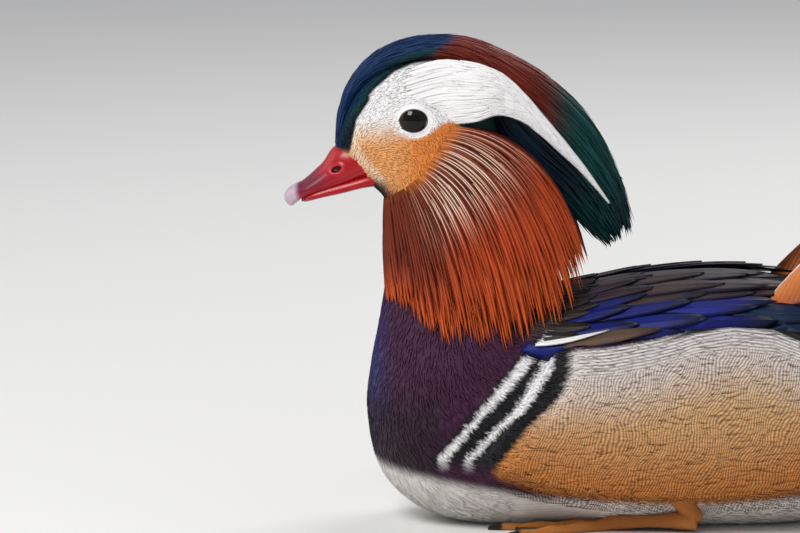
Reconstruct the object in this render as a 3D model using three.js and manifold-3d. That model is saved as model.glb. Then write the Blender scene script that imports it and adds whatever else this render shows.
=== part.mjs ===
// A mandarin drake at life size, sitting on its belly as it floats, with its feet tucked under it.
// Millimetres, +Z up. The bill points to -X, the bird's left side faces -Y, and the belly rests on Z = 0.
// The origin is the middle of the belly's flat.
import * as THREE from "three";
import { mergeVertices } from "three/addons/utils/BufferGeometryUtils.js";
import Module from "manifold-3d";

const wasm = await Module();
wasm.setup();

// Driving dimensions
const GAP = 0.3;
const HALF_TURN = Math.PI;
const RING_POINTS = 24;
const LEFT = -1;
const RIGHT = 1;

const EYE_X = -90.6;
const EYE_Z = 162.4;
const EYE_DEPTH = 13.2;
const EYE_RADIUS = 7.2;
const LID_RADIUS = 5.5;
const LID_THICKNESS = 1.1;

const NOSTRIL_X = -121.3;
const NOSTRIL_Z = 141.6;
const NOSTRIL_SIZE = [2.1, 1.6, 1.1];
const NOSTRIL_TILT = 0.4;

const PAD_EDGE = 0.8;
const PAD_ROOT = 3;
const FLANK_THICKNESS = 5.6;
const WING_THICKNESS = 5;
const SCAPULAR_THICKNESS = 6;

const TARSUS_RADIUS = 3;
const WEB_THICKNESS = 2;

// The flesh and its short feathers, ring by ring from the bill's base to the tail.
// Each row: ring number, back line x z, belly line x z, half width, share of the height where it is widest.
const BODY_ROWS = [
  [0, -122.3, 149.8, -107.0, 134.6, 7.8, 0.5],
  [1, -120.8, 155.0, -106.6, 134.0, 8.8, 0.48],
  [2, -119.0, 162.0, -106.0, 133.4, 10.6, 0.46],
  [3, -115.8, 171.0, -105.2, 132.7, 13.0, 0.45],
  [4, -110.0, 179.5, -104.4, 132.0, 15.0, 0.44],
  [5, -101.0, 186.0, -103.6, 131.2, 16.6, 0.43],
  [6, -90.0, 189.5, -102.9, 130.3, 17.8, 0.43],
  [7, -78.0, 189.5, -102.2, 129.3, 18.6, 0.43],
  [8, -67.5, 185.5, -101.6, 128.0, 19.0, 0.43],
  [9, -60.5, 178.0, -101.1, 126.3, 19.1, 0.44],
  [10, -56.8, 168.0, -100.8, 124.0, 19.0, 0.46],
  [11, -55.0, 157.0, -100.6, 120.5, 18.8, 0.48],
  [12, -54.2, 146.0, -100.6, 115.5, 18.8, 0.5],
  [13, -53.6, 135.0, -100.8, 109.0, 19.5, 0.5],
  [14, -52.8, 124.0, -101.3, 100.5, 21.5, 0.5],
  [15, -51.5, 113.5, -102.5, 90.0, 25.5, 0.5],
  [16, -49.5, 104.0, -104.8, 77.0, 31.0, 0.5],
  [17, -46.0, 97.0, -107.6, 62.0, 37.0, 0.49],
  [18, -40.0, 92.5, -109.0, 43.0, 42.5, 0.48],
  [19, -30.0, 90.5, -103.0, 19.0, 46.5, 0.47],
  [20, -16.0, 91.0, -84.0, 3.0, 49.5, 0.46],
  [21, 4.0, 93.0, -52.0, -2.5, 51.0, 0.45],
  [22, 30.0, 94.0, -10.0, -3.0, 52.0, 0.45],
  [23, 58.0, 92.5, 32.0, -3.0, 51.0, 0.46],
  [24, 86.0, 89.0, 68.0, -0.5, 47.5, 0.48],
  [25, 112.0, 84.0, 98.0, 10.0, 41.0, 0.5],
  [26, 134.0, 78.0, 124.0, 25.0, 32.5, 0.5],
  [27, 152.0, 72.0, 146.0, 40.0, 22.5, 0.5],
  [28, 166.0, 67.5, 163.0, 53.0, 13.0, 0.5],
];
const TAIL_END = [171, 0, 61];
const LAST_RING = BODY_ROWS.length - 1;
const SECTION_POWER = 2.15;
const HALVINGS = 22;

// The planes that part the head, neck, torso and tail, each a line x z to x z from front to back.
const HEAD_CUT = [[-106, 122], [-48, 150]];
const NECK_CUT = [[-112, 83], [-40, 104]];
const TAIL_CUT = [[146, 20], [146, 100]];

function clamp(value, low, high) {
  return Math.min(high, Math.max(low, value));
}

function mix(a, b, t) {
  return a + (b - a) * t;
}

function vector(x, y, z) {
  return new THREE.Vector3(x, y, z);
}

// Reads every value of a table of [key, values...] rows at a key, on a smooth curve through the rows.
function smoothTable(rows) {
  const last = rows.length - 1;
  const row = (i) => rows[clamp(i, 0, last)];
  return (key) => {
    const k = clamp(key, rows[0][0], rows[last][0]);
    let i = 0;
    while (i < last - 1 && k > rows[i + 1][0]) i++;
    const h = rows[i + 1][0] - rows[i][0];
    const t = (k - rows[i][0]) / h;
    const slope = (j, c) => (row(j + 1)[c] - row(j - 1)[c]) / (row(j + 1)[0] - row(j - 1)[0]);
    return rows[i].slice(1).map((value, n) => {
      const c = n + 1;
      const next = rows[i + 1][c];
      const bend = t * t * (3 - 2 * t);
      const out = t * (1 - t) * (1 - t) * h * slope(i, c);
      const into = t * t * (t - 1) * h * slope(i + 1, c);
      return mix(value, next, bend) + out + into;
    });
  };
}

// A three.js geometry from points and triangles.
function geometryOf(points, triangles) {
  const geometry = new THREE.BufferGeometry().setFromPoints(points);
  geometry.setIndex(triangles.flat());
  return geometry;
}

// A closed geometry as a solid, its like vertices merged and its faces turned to point out.
function solidOf(geometry) {
  const bare = geometry.clone();
  bare.deleteAttribute("normal");
  bare.deleteAttribute("uv");
  const merged = mergeVertices(bare, 1e-4);
  const vertProperties = merged.attributes.position.array;
  const index = Uint32Array.from(merged.index.array);
  const build = (triVerts) =>
    new wasm.Manifold(new wasm.Mesh({ numProp: 3, vertProperties, triVerts }));
  const made = build(index);
  return made.volume() > 0 ? made : build(index.toReversed());
}

function solid(points, triangles) {
  return solidOf(geometryOf(points, triangles));
}

// A closed solid through rings of equally many points, ending on poles or on the end rings' middles.
function loft(rings, firstPole, lastPole) {
  const n = rings[0].length;
  const middle = (ring) => ring.reduce((sum, p) => sum.add(p), vector(0, 0, 0)).divideScalar(n);
  const points = [...rings.flat(), firstPole ?? middle(rings[0]), lastPole ?? middle(rings.at(-1))];
  const first = points.length - 2;
  const last = points.length - 1;
  const base = (rings.length - 1) * n;
  const faces = [];
  for (let j = 0; j < n; j++) {
    const k = (j + 1) % n;
    for (let i = 0; i < rings.length - 1; i++) {
      faces.push([i * n + j, i * n + k, (i + 1) * n + k], [i * n + j, (i + 1) * n + k, (i + 1) * n + j]);
    }
    faces.push([first, k, j], [last, base + j, base + k]);
  }
  return solid(points, faces);
}

// A solid between two like grids of points, one on each face, both split into the same triangles.
function slab(outer, inner) {
  const rows = outer.length;
  const columns = outer[0].length;
  const points = [...outer.flat(), ...inner.flat()];
  const shift = rows * columns;
  const at = (i, j) => i * columns + j;
  const faces = [];
  for (let i = 0; i < rows - 1; i++) {
    for (let j = 0; j < columns - 1; j++) {
      const [a, b, c, d] = [at(i, j), at(i, j + 1), at(i + 1, j + 1), at(i + 1, j)];
      faces.push([a, b, c], [a, c, d]);
      faces.push([shift + a, shift + c, shift + b], [shift + a, shift + d, shift + c]);
    }
  }
  const wall = (a, b) => faces.push([a, shift + b, b], [a, shift + a, shift + b]);
  for (let j = 0; j < columns - 1; j++) {
    wall(at(0, j), at(0, j + 1));
    wall(at(rows - 1, j + 1), at(rows - 1, j));
  }
  for (let i = 0; i < rows - 1; i++) {
    wall(at(i + 1, 0), at(i, 0));
    wall(at(i, columns - 1), at(i + 1, columns - 1));
  }
  return solid(points, faces);
}

function join(pieces) {
  return wasm.Manifold.union(pieces);
}

function cut(piece, ...tools) {
  return wasm.Manifold.difference([piece, ...tools]);
}

function largest(piece) {
  return piece.decompose().reduce((a, b) => (b.volume() > a.volume() ? b : a));
}

// The half of space above the line through two profile points, moved up by an amount.
function above([[x1, z1], [x2, z2]], moved = 0) {
  const along = new THREE.Vector2(x2 - x1, z2 - z1).normalize();
  const up = new THREE.Vector2(-along.y, along.x);
  const far = 600;
  const corner = (a, u) => [x1 + along.x * a + up.x * (u + moved), z1 + along.y * a + up.y * (u + moved)];
  const outline = [corner(-far, 0), corner(far, 0), corner(far, far), corner(-far, far)];
  return loft([-far, far].map((y) => outline.map(([x, z]) => vector(x, y, z))));
}

const bodyRow = smoothTable(BODY_ROWS);

// A sine or cosine bent so that the ring is a little squarer than an ellipse.
function rounded(value) {
  return Math.sign(value) * Math.abs(value) ** (2 / SECTION_POWER);
}

// A point of the body's surface: u is the ring number, v the angle from the back to the belly.
function ringPoint(u, v) {
  const [backX, backZ, bellyX, bellyZ, halfWidth, widest] = bodyRow(u);
  const rise = rounded(Math.cos(v));
  const height = widest + (rise > 0 ? 1 - widest : widest) * rise;
  return vector(mix(bellyX, backX, height), halfWidth * rounded(Math.sin(v)), mix(bellyZ, backZ, height));
}

// The outward direction of the body's surface, across its two tangents.
function bodyNormal(u, v) {
  const step = 0.02;
  const uLow = clamp(u - step, 0, LAST_RING - 2 * step);
  const alongU = ringPoint(uLow + 2 * step, v).sub(ringPoint(uLow, v));
  const alongV = ringPoint(u, v + step).sub(ringPoint(u, v - step));
  return alongU.cross(alongV).normalize();
}

// A point raised from the body's surface by an amount. Nothing goes below the floor.
function bodyPoint(u, v, raised = 0) {
  const p = ringPoint(u, v);
  if (raised) p.addScaledVector(bodyNormal(u, v), raised);
  p.z = Math.max(p.z, 0);
  return p;
}

// The ring number and angle of the body's side at a profile point, by halving the range of rings.
function locate(x, z) {
  let low = 0;
  let high = LAST_RING;
  for (let i = 0; i < HALVINGS; i++) {
    const u = (low + high) / 2;
    const [backX, backZ, bellyX, bellyZ] = bodyRow(u);
    const turned = (backX - bellyX) * (z - bellyZ) - (backZ - bellyZ) * (x - bellyX);
    if (turned < 0) low = u;
    else high = u;
  }
  const [backX, backZ, bellyX, bellyZ, , widest] = bodyRow(low);
  const height = ((z - bellyZ) * (backZ - bellyZ) + (x - bellyX) * (backX - bellyX))
    / ((backZ - bellyZ) ** 2 + (backX - bellyX) ** 2);
  const share = clamp((height - widest) / (height > widest ? 1 - widest : widest), -1, 1);
  return [low, Math.acos(Math.sign(share) * Math.abs(share) ** (SECTION_POWER / 2))];
}

// A point of one side of the body as seen in profile at x z, raised by an amount.
function onSide(x, z, raised, side) {
  const [u, v] = locate(x, z);
  return bodyPoint(u, side * v, raised);
}

function wholeBody(raised = 0) {
  const rings = [];
  for (let u = 0; u <= LAST_RING; u++) {
    rings.push(
      Array.from({ length: RING_POINTS }, (_, i) => {
        const v = (2 * HALF_TURN * i) / RING_POINTS;
        return bodyPoint(u, v > HALF_TURN ? v - 2 * HALF_TURN : v, raised);
      }),
    );
  }
  const [x, y, z] = TAIL_END;
  return loft(rings, undefined, vector(x + raised, y, z));
}

// A seeded draw between two values, the same on every run.
let seed = 7;
function draw(low, high) {
  seed = (seed * 1664525 + 1013904223) % 4294967296;
  return mix(low, high, seed / 4294967296);
}

// One feather on a surface given by surface(along, across, lift), from start to end along it.
// The ridge down its middle is its shaft. A lock is the same with plain edges.
const VANE = { stations: [0, 0.45, 0.86], widths: [0.6, 1, 0.74], edge: 0.5 };
const LOCK = { stations: [0, 0.3, 0.66], widths: [0.55, 1, 0.62], edge: 0 };

function feather(surface, form, { start, end, across, drift = 0, half, thick, lift, tilt = 0 }) {
  const rings = form.stations.map((share, i) => {
    const along = mix(start, end, share);
    const middle = across + drift * share;
    const step = 0.01;
    const unit = surface(along, middle + step, 0).distanceTo(surface(along, middle - step, 0)) / (2 * step);
    const reach = (half * form.widths[i]) / unit;
    const low = mix(lift[0], lift[1], share);
    const ring = [
      surface(along, middle - reach, low + tilt + form.edge),
      surface(along, middle, low + thick),
      surface(along, middle + reach, low - tilt + form.edge),
      surface(along, middle, low),
    ];
    if (form.edge) {
      ring.splice(3, 0, surface(along, middle + reach, low - tilt));
      ring.push(surface(along, middle - reach, low + tilt));
    }
    return ring;
  });
  return loft(rings, undefined, surface(end, across + drift, lift[1] + thick / 2));
}

// The same piece moved a gap each way, joined: the room that its neighbours leave for it.
function roomOf(piece) {
  const moves = [[GAP, 0, 0], [-GAP, 0, 0], [0, GAP, 0], [0, -GAP, 0], [0, 0, GAP], [0, 0, -GAP]];
  return join(moves.map((move) => piece.translate(move)));
}

// The bill: rows of length share, top x z, bottom x z, half width.
const UPPER_BILL_ROWS = [
  [0, -117.5, 152.0, -104.8, 138.5, 9.6],
  [1, -122.8, 149.4, -109.5, 137.3, 9.3],
  [2, -126.6, 143.8, -115.5, 135.5, 8.8],
  [3, -129.6, 140.8, -121.5, 133.7, 8.3],
  [4, -132.4, 138.2, -127.5, 131.9, 7.9],
  [5, -135.2, 136.0, -132.4, 130.3, 7.4],
  [6, -136.6, 135.3, -135.2, 129.5, 6.8],
];
const LOWER_BILL_ROWS = [
  [0, -104.8, 137.9, -106.5, 134.0, 8.4],
  [1, -111.0, 136.1, -111.6, 133.2, 8.3],
  [2, -118.0, 134.1, -118.6, 131.4, 7.8],
  [3, -126.0, 131.8, -126.6, 129.6, 7.0],
  [4, -132.6, 129.7, -133.0, 128.0, 5.4],
];
const LOWER_BILL_TIP = [-135.4, 0, 128.2];
const NAIL_ROWS = [
  [0, -137.0, 135.1, -135.7, 129.0, 5.6],
  [1, -139.2, 134.2, -137.2, 127.7, 5.2],
  [2, -141.4, 132.3, -138.6, 126.4, 4.2],
];
const NAIL_TIP = [-141.8, 0, 127.6];

// A ring of the bill, flat below and arched above, with its widest line low down.
function billRing([topX, topZ, bottomX, bottomZ, halfWidth], grow) {
  const points = 14;
  const widest = 0.28;
  return Array.from({ length: points }, (_, i) => {
    const v = (2 * HALF_TURN * i) / points;
    const rise = Math.cos(v);
    const height = widest + (rise > 0 ? 1 - widest : widest) * Math.sign(rise) * Math.abs(rise) ** 0.9;
    const across = Math.sign(Math.sin(v)) * Math.abs(Math.sin(v)) ** 0.85;
    const lift = grow * (2 * height - 1);
    return vector(mix(bottomX, topX, height), (halfWidth + grow) * across, mix(bottomZ, topZ, height) + lift);
  });
}

function billLoft(rows, tip, grow = 0) {
  const rings = rows.map((row) => billRing(row.slice(1), grow));
  rings[0].forEach((p) => p.setX(p.x + 2 * grow));
  return loft(rings, undefined, tip && vector(...tip));
}

function nostril(side) {
  const hole = new THREE.SphereGeometry(1, 8, 6);
  hole.scale(...NOSTRIL_SIZE);
  hole.rotateY(-NOSTRIL_TILT);
  hole.translate(NOSTRIL_X, side * 6.6, NOSTRIL_Z);
  return solidOf(hole);
}

function eyeBall(side, raised = 0) {
  const ball = new THREE.SphereGeometry(EYE_RADIUS + raised, 14, 10);
  ball.rotateX(HALF_TURN / 2);
  ball.translate(EYE_X, side * EYE_DEPTH, EYE_Z);
  return solidOf(ball);
}

// The lids: a ring round the eye, drawn out to a corner in front.
function lids(side) {
  const ring = new THREE.TorusGeometry(LID_RADIUS, LID_THICKNESS, 5, 16);
  ring.scale(1.12, 0.92, 1);
  ring.rotateX(HALF_TURN / 2);
  ring.rotateZ(side * 0.12);
  ring.translate(EYE_X, side * 17.9, EYE_Z);
  return solidOf(ring);
}

// The crest from the bill to its hanging tips: upper outline x z, lower outline x z, half width.
const CREST_ROWS = [
  [0, -123.0, 150.6, -119.0, 152.0, 3.0],
  [1, -121.4, 163.0, -116.0, 164.0, 6.5],
  [2, -117.6, 174.4, -112.0, 172.0, 9.0],
  [3, -110.5, 184.2, -105.0, 178.0, 11.0],
  [4, -100.0, 191.2, -97.0, 182.0, 12.5],
  [5, -86.0, 194.6, -85.0, 184.0, 13.6],
  [6, -70.0, 194.2, -74.0, 180.0, 14.6],
  [7, -55.0, 189.0, -63.0, 168.0, 15.4],
  [8, -41.5, 181.5, -57.0, 152.0, 15.6],
  [9, -29.5, 172.0, -47.0, 139.0, 15.0],
  [10, -19.5, 160.0, -36.0, 130.0, 13.4],
  [11, -12.0, 146.0, -26.0, 121.5, 11.0],
  [12, -7.0, 133.0, -19.0, 115.0, 8.0],
  [13, -3.6, 119.0, -12.5, 110.5, 4.0],
];
const CREST_CORE_END = 10;
const CREST_CLEAR = 1.6;
const crestRow = smoothTable(CREST_ROWS);

// The crest's surface: t along it, angle from its upper outline, lifted out from its middle line.
function crestPoint(t, angle, lift = 0, scale = 1) {
  const [upX, upZ, downX, downZ, halfWidth] = crestRow(t);
  const middle = vector((upX + downX) / 2, 0, (upZ + downZ) / 2);
  const rise = 0.5 * scale * Math.cos(angle);
  const p = vector((upX - downX) * rise, halfWidth * scale * Math.sin(angle), (upZ - downZ) * rise);
  return p.setLength(p.length() + lift).add(middle);
}

// The crown and the root of the crest, one smooth form that narrows where the locks leave it.
function crestCore(inset, end = CREST_CORE_END, narrowing = 0.25) {
  const around = 16;
  const rings = [];
  for (let t = 0; t <= end; t++) {
    const scale = 1 - narrowing * clamp((t - 6) / 4, 0, 1);
    rings.push(
      Array.from({ length: around }, (_, i) => crestPoint(t, (2 * HALF_TURN * i) / around, -inset, scale)),
    );
  }
  return loft(rings);
}

// Tiers of locks down the crest: first and last place along it, how many, half width.
const CREST_TIERS = [
  { start: 6.2, end: 10.6, count: 5, half: 7 },
  { start: 7.8, end: 12, count: 5, half: 6.8 },
  { start: 9, end: 13.2, count: 6, half: 6 },
];

function crest() {
  const locks = CREST_TIERS.flatMap(({ start, end, count, half }) =>
    Array.from({ length: count }, (_, i) =>
      feather(crestPoint, LOCK, {
        start: start + draw(-0.3, 0.3),
        end: end - draw(0, 0.6),
        across: (2 * HALF_TURN * (i + draw(-0.2, 0.2))) / count,
        half,
        thick: 2,
        lift: [-2.6, -0.9],
      }),
    ),
  );
  return join([crestCore(1), ...locks]);
}

// The white brow plume: its upper edge x z, lower edge x z and its distance from the middle, front to tip.
const BROW_ROWS = [
  [0, -68.0, 184.0, -66.0, 163.0, 19.6],
  [1, -58.0, 182.0, -56.0, 165.2, 19.2],
  [2, -49.5, 175.7, -47.0, 162.8, 18.4],
  [3, -40.5, 166.0, -40.9, 157.6, 17.2],
  [4, -32.0, 156.2, -33.5, 150.4, 15.8],
  [5, -22.5, 143.4, -24.0, 140.4, 13.2],
];
const BROW_TIP = [-12.1, 10.6, 128.2];
const BROW_THICKNESS = 1.3;

function brow(side) {
  const rings = BROW_ROWS.map(([, upX, upZ, downX, downZ, y]) => {
    const outer = side * (y + BROW_THICKNESS / 2);
    const inner = side * (y - BROW_THICKNESS / 2);
    return [
      vector(upX, inner, upZ),
      vector(upX, side * y, upZ + 0.2),
      vector((upX + downX) / 2, outer, (upZ + downZ) / 2),
      vector(downX, side * y, downZ - 0.2),
      vector(downX, inner, downZ),
    ];
  });
  const [x, y, z] = BROW_TIP;
  return loft(rings, undefined, vector(x, side * y, z));
}

// The ruff: hackles fan from the cheek. Rows of fan share, root x z y, bend x z y and tip x z y.
const RUFF_ROWS = [
  [0, -102.4, 129.0, 3.0, -103.4, 110.0, 5.0, -101.6, 88.0, 6.0],
  [0.12, -101.0, 131.0, 10.0, -99.0, 111.0, 15.0, -96.0, 88.0, 20.0],
  [0.3, -94.0, 135.5, 16.5, -84.0, 113.0, 27.0, -78.0, 76.0, 33.0],
  [0.5, -87.0, 142.0, 19.0, -66.5, 132.0, 33.0, -56.0, 74.0, 38.0],
  [0.68, -82.5, 149.0, 19.6, -54.0, 144.0, 35.0, -42.0, 78.0, 38.0],
  [0.84, -79.0, 155.0, 19.4, -44.0, 153.0, 33.0, -29.0, 86.0, 34.0],
  [1, -76.0, 160.0, 19.0, -37.0, 160.5, 28.0, -20.5, 104.0, 22.0],
];
const RUFF_CORE_REACH = 0.5;
const RUFF_CORE_INSET = 1.6;
const RUFF_CLEAR = 2.6;
const ruffRow = smoothTable(RUFF_ROWS);

// How far the flesh reaches from the mid-plane at a profile point.
function fleshReach(x, z) {
  const [u, v] = locate(x, z);
  return bodyPoint(u, v).y;
}

// The ruff's outer face on one side: t from root to tip, fan from the throat to the nape, clear of the flesh.
function ruffPoint(side, t, fan, lift, depth = 0) {
  const row = ruffRow(fan);
  const bend = (c) => (1 - t) * (1 - t) * row[c] + 2 * t * (1 - t) * row[c + 3] + t * t * row[c + 6];
  const [x, z] = [bend(0), bend(1)];
  const y = Math.max(bend(2) * (1 - depth), fleshReach(x, z) + 0.8) + lift;
  return vector(x, side * Math.max(y, GAP), z);
}

// The space inside the ruff, from its outer face to the middle plane, out to a share of its length.
function ruffCore(side, reach, raised) {
  const fans = [0, 0.12, 0.3, 0.5, 0.68, 0.84, 1];
  const steps = Math.round(reach * 6);
  const reaches = Array.from({ length: steps + 1 }, (_, i) => (reach * i) / steps);
  const grid = (point) => reaches.map((t) => fans.map((fan) => point(t, fan)));
  const outer = grid((t, fan) => ruffPoint(side, t, fan, raised));
  const inner = grid((t, fan) => ruffPoint(side, t, fan, 0).setY((side * GAP) / 2));
  return slab(outer, inner);
}

// Layers of hackles from the outside in: how many, the part of the fan they cover, half width, depth, length.
const RUFF_LAYERS = [
  { count: 10, fans: [0.03, 1], half: 6, depth: 0, roots: [0.1, 0.3], tips: [0.92, 1] },
  { count: 6, fans: [0.08, 0.94], half: 6.4, depth: 0.12, roots: [0.32, 0.42], tips: [0.86, 0.98] },
  { count: 3, fans: [0.66, 1], half: 7, depth: 0.5, roots: [0.32, 0.4], tips: [0.86, 0.94] },
];

function ruff(side) {
  const hackles = RUFF_LAYERS.flatMap(({ count, fans, half, depth, roots, tips }) =>
    Array.from({ length: count }, (_, i) => {
      const fan = mix(fans[0], fans[1], i / (count - 1));
      return feather((t, f, lift) => ruffPoint(side, t, clamp(f, 0, 1.05), lift, depth), LOCK, {
        start: draw(...roots),
        end: draw(...tips),
        across: fan,
        drift: draw(-0.02, 0.02),
        half,
        thick: 1.5,
        lift: [-2, i % 2 ? 0 : 0.7],
      });
    }),
  );
  return join([ruffCore(side, RUFF_CORE_REACH, -RUFF_CORE_INSET), ...hackles]);
}

// The flank panel, seen in profile: its lower edge x z and its upper edge x z from front to back.
const FLANK_ROWS = [
  [0, -66.0, 30.0, -36.0, 72.0],
  [1, -56.0, 22.0, -26.0, 74.5],
  [2, -38.0, 16.0, -12.0, 75.5],
  [3, -18.0, 13.0, 4.0, 78.5],
  [4, 6.0, 11.5, 20.0, 83.0],
  [5, 30.0, 11.5, 36.0, 85.3],
  [6, 54.0, 13.5, 52.0, 83.8],
  [7, 76.0, 19.0, 68.0, 78.0],
  [8, 94.0, 27.0, 84.0, 70.0],
  [9, 108.0, 37.0, 98.0, 62.0],
  [10, 118.0, 47.0, 110.0, 56.0],
];
const FLANK_END = FLANK_ROWS.length - 1;
const FLANK_CLEAR = 2.8;
const flankRow = smoothTable(FLANK_ROWS);

// The flank's surface: from front to back, then from its lower edge (0) to its upper edge (1).
function flankPoint(side, along, up, lift) {
  const [lowX, lowZ, highX, highZ] = flankRow(along);
  const share = clamp(up, 0, 1);
  const ends = Math.min(1, 0.25 + 0.75 * Math.min(along, FLANK_END - along) / 2);
  const swell = Math.sin(HALF_TURN * clamp(share, 0.02, 0.98)) ** 0.45;
  const raised = PAD_EDGE + FLANK_THICKNESS * swell * ends + lift;
  return onSide(mix(lowX, highX, share), mix(lowZ, highZ, share), raised, side);
}

function flankPad(side, raised = 0) {
  const shares = [0, 0.1, 0.35, 0.65, 0.9, 1];
  const grid = (point) => FLANK_ROWS.map(([along]) => shares.map((up) => point(along, up)));
  const inside = ([lowX, lowZ, highX, highZ], up) =>
    onSide(mix(lowX, highX, up), mix(lowZ, highZ, up), -PAD_ROOT, side);
  return slab(
    grid((along, up) => flankPoint(side, along, up, raised).add(vector(0, 0, raised * (up - 0.5)))),
    grid((along, up) => inside(flankRow(along), up)),
  );
}

// Rows of long flank feathers that frame the panel's upper and rear edge.
const FLANK_TIERS = [
  { start: 3.4, end: 6, up: 0.88 },
  { start: 5.2, end: 7.8, up: 0.88 },
  { start: 6.8, end: 9.5, up: 0.78 },
  { start: 6.9, end: 9.4, up: 0.48 },
];

function flank(side) {
  const surface = (along, up, lift) => flankPoint(side, along, up, lift);
  const feathers = FLANK_TIERS.map(({ start, end, up }, i) =>
    feather(surface, VANE, { start, end, across: up, half: 9, thick: 1.1, lift: [-1, 0.2 + 0.05 * i] }),
  );
  return join([flankPad(side), ...feathers]);
}

// The folded wing on the back's side: ring number, inner and outer angle from the mid-line, thickness.
const WING_ROWS = [
  [18.4, 0.66, 0.78, 0.25],
  [19, 0.5, 0.94, 0.6],
  [20, 0.46, 0.98, 0.9],
  [21, 0.46, 0.96, 1],
  [22, 0.46, 0.86, 1],
  [23, 0.44, 0.82, 0.9],
  [24, 0.4, 0.8, 0.6],
  [24.6, 0.36, 0.7, 0.3],
];
const SCAPULAR_ROWS = [
  [18.2, 0.28, 0.5, 0.2],
  [19, 0.22, 0.48, 0.6],
  [20, 0.18, 0.44, 0.9],
  [21, 0.18, 0.44, 1],
  [22, 0.2, 0.44, 1],
  [23, 0.24, 0.42, 0.8],
  [23.4, 0.28, 0.38, 0.5],
];

const SEAM_ANGLE = 0.5;

// A smooth pad on the back's side, between two angles from the mid-line that change from ring to ring.
function backPad(rows, thickness, side) {
  const shares = [0, 0.15, 0.5, 0.85, 1];
  const grid = (lift) =>
    rows.map(([u, inner, outer, swell]) =>
      shares.map((share) => {
        const round = Math.sin(HALF_TURN * clamp(share, 0.08, 0.92)) ** 0.5;
        return bodyPoint(u, side * mix(inner, outer, share), lift(swell * round));
      }),
    );
  return slab(grid((swell) => PAD_EDGE + thickness * swell), grid(() => -PAD_ROOT));
}

// Feathers in tiers on a back pad: rings of root and tip, range of angles, count, half width, lift.
const WING_TIERS = [
  { start: 22.4, end: 24.9, angles: [0.56, 0.74], count: 2, half: 7.5, lift: [2, 3.8] },
  { start: 21.1, end: 23.6, angles: [0.58, 0.82], count: 3, half: 7.5, lift: [4, 5.6] },
  { start: 19.5, end: 21.9, angles: [0.6, 0.9], count: 3, half: 7.5, lift: [4, 6.2] },
];
const SCAPULAR_TIERS = [
  { start: 21.4, end: 23.35, angles: [0.27, 0.39], count: 2, half: 7, lift: [5, 7.4] },
  { start: 20.2, end: 22.5, angles: [0.26, 0.41], count: 2, half: 8, lift: [6, 7.6] },
];

function backFeathers(tiers, side) {
  const surface = (u, angle, lift) => bodyPoint(u, side * angle, lift);
  return tiers.flatMap(({ start, end, angles, count, half, lift }) =>
    Array.from({ length: count }, (_, i) =>
      feather(surface, VANE, {
        start: start + draw(-0.08, 0.08),
        end: end + draw(-0.12, 0.12),
        across: mix(angles[0], angles[1], i / (count - 1)),
        half,
        thick: 1.1,
        lift,
        tilt: 0.5,
      }),
    ),
  );
}

// The thin gap that parts the wing from the scapulars, at one angle from the mid-line.
function backSeam(side) {
  const [low, high] = [-5, 14];
  const turn = GAP / 50;
  const rings = [17, 18, 19, 20, 21, 22, 23, 24, 25];
  const wall = (angle) => rings.map((u) => [low, high].map((lift) => bodyPoint(u, side * angle, lift)));
  return slab(wall(SEAM_ANGLE), wall(SEAM_ANGLE + turn));
}

function wing(side) {
  return join([backPad(WING_ROWS, WING_THICKNESS, side), ...backFeathers(WING_TIERS, side)]);
}

function scapulars(side) {
  return join([backPad(SCAPULAR_ROWS, SCAPULAR_THICKNESS, side), ...backFeathers(SCAPULAR_TIERS, side)]);
}

// The folded primaries: a stack of long blades along a curve, each one a little shorter than that below.
const PRIMARY_COUNT = 4;
const PRIMARY_PATH = [[78, 31, 89.5], [128, 21, 88.5], [180, 5, 82.5]];
const PRIMARY_STEP = { length: 0.08, up: 0.55, out: 1.6 };

function along([a, b, c], t, side) {
  const at = (i) => (1 - t) * (1 - t) * a[i] + 2 * t * (1 - t) * b[i] + t * t * c[i];
  return vector(at(0), side * at(1), at(2));
}

function primaries(side) {
  const surface = (t, out, lift) => {
    const p = along(PRIMARY_PATH, t, side);
    return p.set(p.x, p.y + side * out, p.z + lift - 0.03 * out * out);
  };
  const blades = Array.from({ length: PRIMARY_COUNT }, (_, i) =>
    feather(surface, VANE, {
      start: 0,
      end: 1 - i * PRIMARY_STEP.length,
      across: i * PRIMARY_STEP.out,
      half: 5.5,
      thick: 1,
      lift: [i * PRIMARY_STEP.up, i * PRIMARY_STEP.up],
    }),
  );
  return join(blades);
}

// The sail: the broad inner vane of the last tertial, upright on a shaft that runs back along the wing.
const SAIL_SHAFT = [[51, 28, 86], [93, 26, 98], [132, 17, 103]];
const SAIL_ROWS = [
  [0, 4, 3],
  [0.1, 17, 8],
  [0.25, 34, 16],
  [0.42, 46, 22],
  [0.6, 48, 23],
  [0.76, 39, 17],
  [0.9, 22, 9],
  [1, 5, 3],
];
const SAIL_THICKNESS = 0.9;
const SAIL_RIB = 0.5;
const SAIL_LEAN = 0.12;
const SAIL_CURL = 4;

// A point of the sail: t along the shaft, height from the shaft (0) to the rim (1).
function sailPoint(t, height, side) {
  const rowAfter = SAIL_ROWS.findIndex(([key], i) => i > 0 && key >= t);
  const [a, b] = [SAIL_ROWS[rowAfter - 1], SAIL_ROWS[rowAfter]];
  const share = (t - a[0]) / (b[0] - a[0]);
  const [tall, back] = [mix(a[1], b[1], share), mix(a[2], b[2], share)];
  const p = along(SAIL_SHAFT, t, 1);
  const lean = SAIL_LEAN * tall * height + SAIL_CURL * height * height;
  return vector(p.x + back * height, side * (p.y - lean), p.z + tall * height);
}

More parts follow.
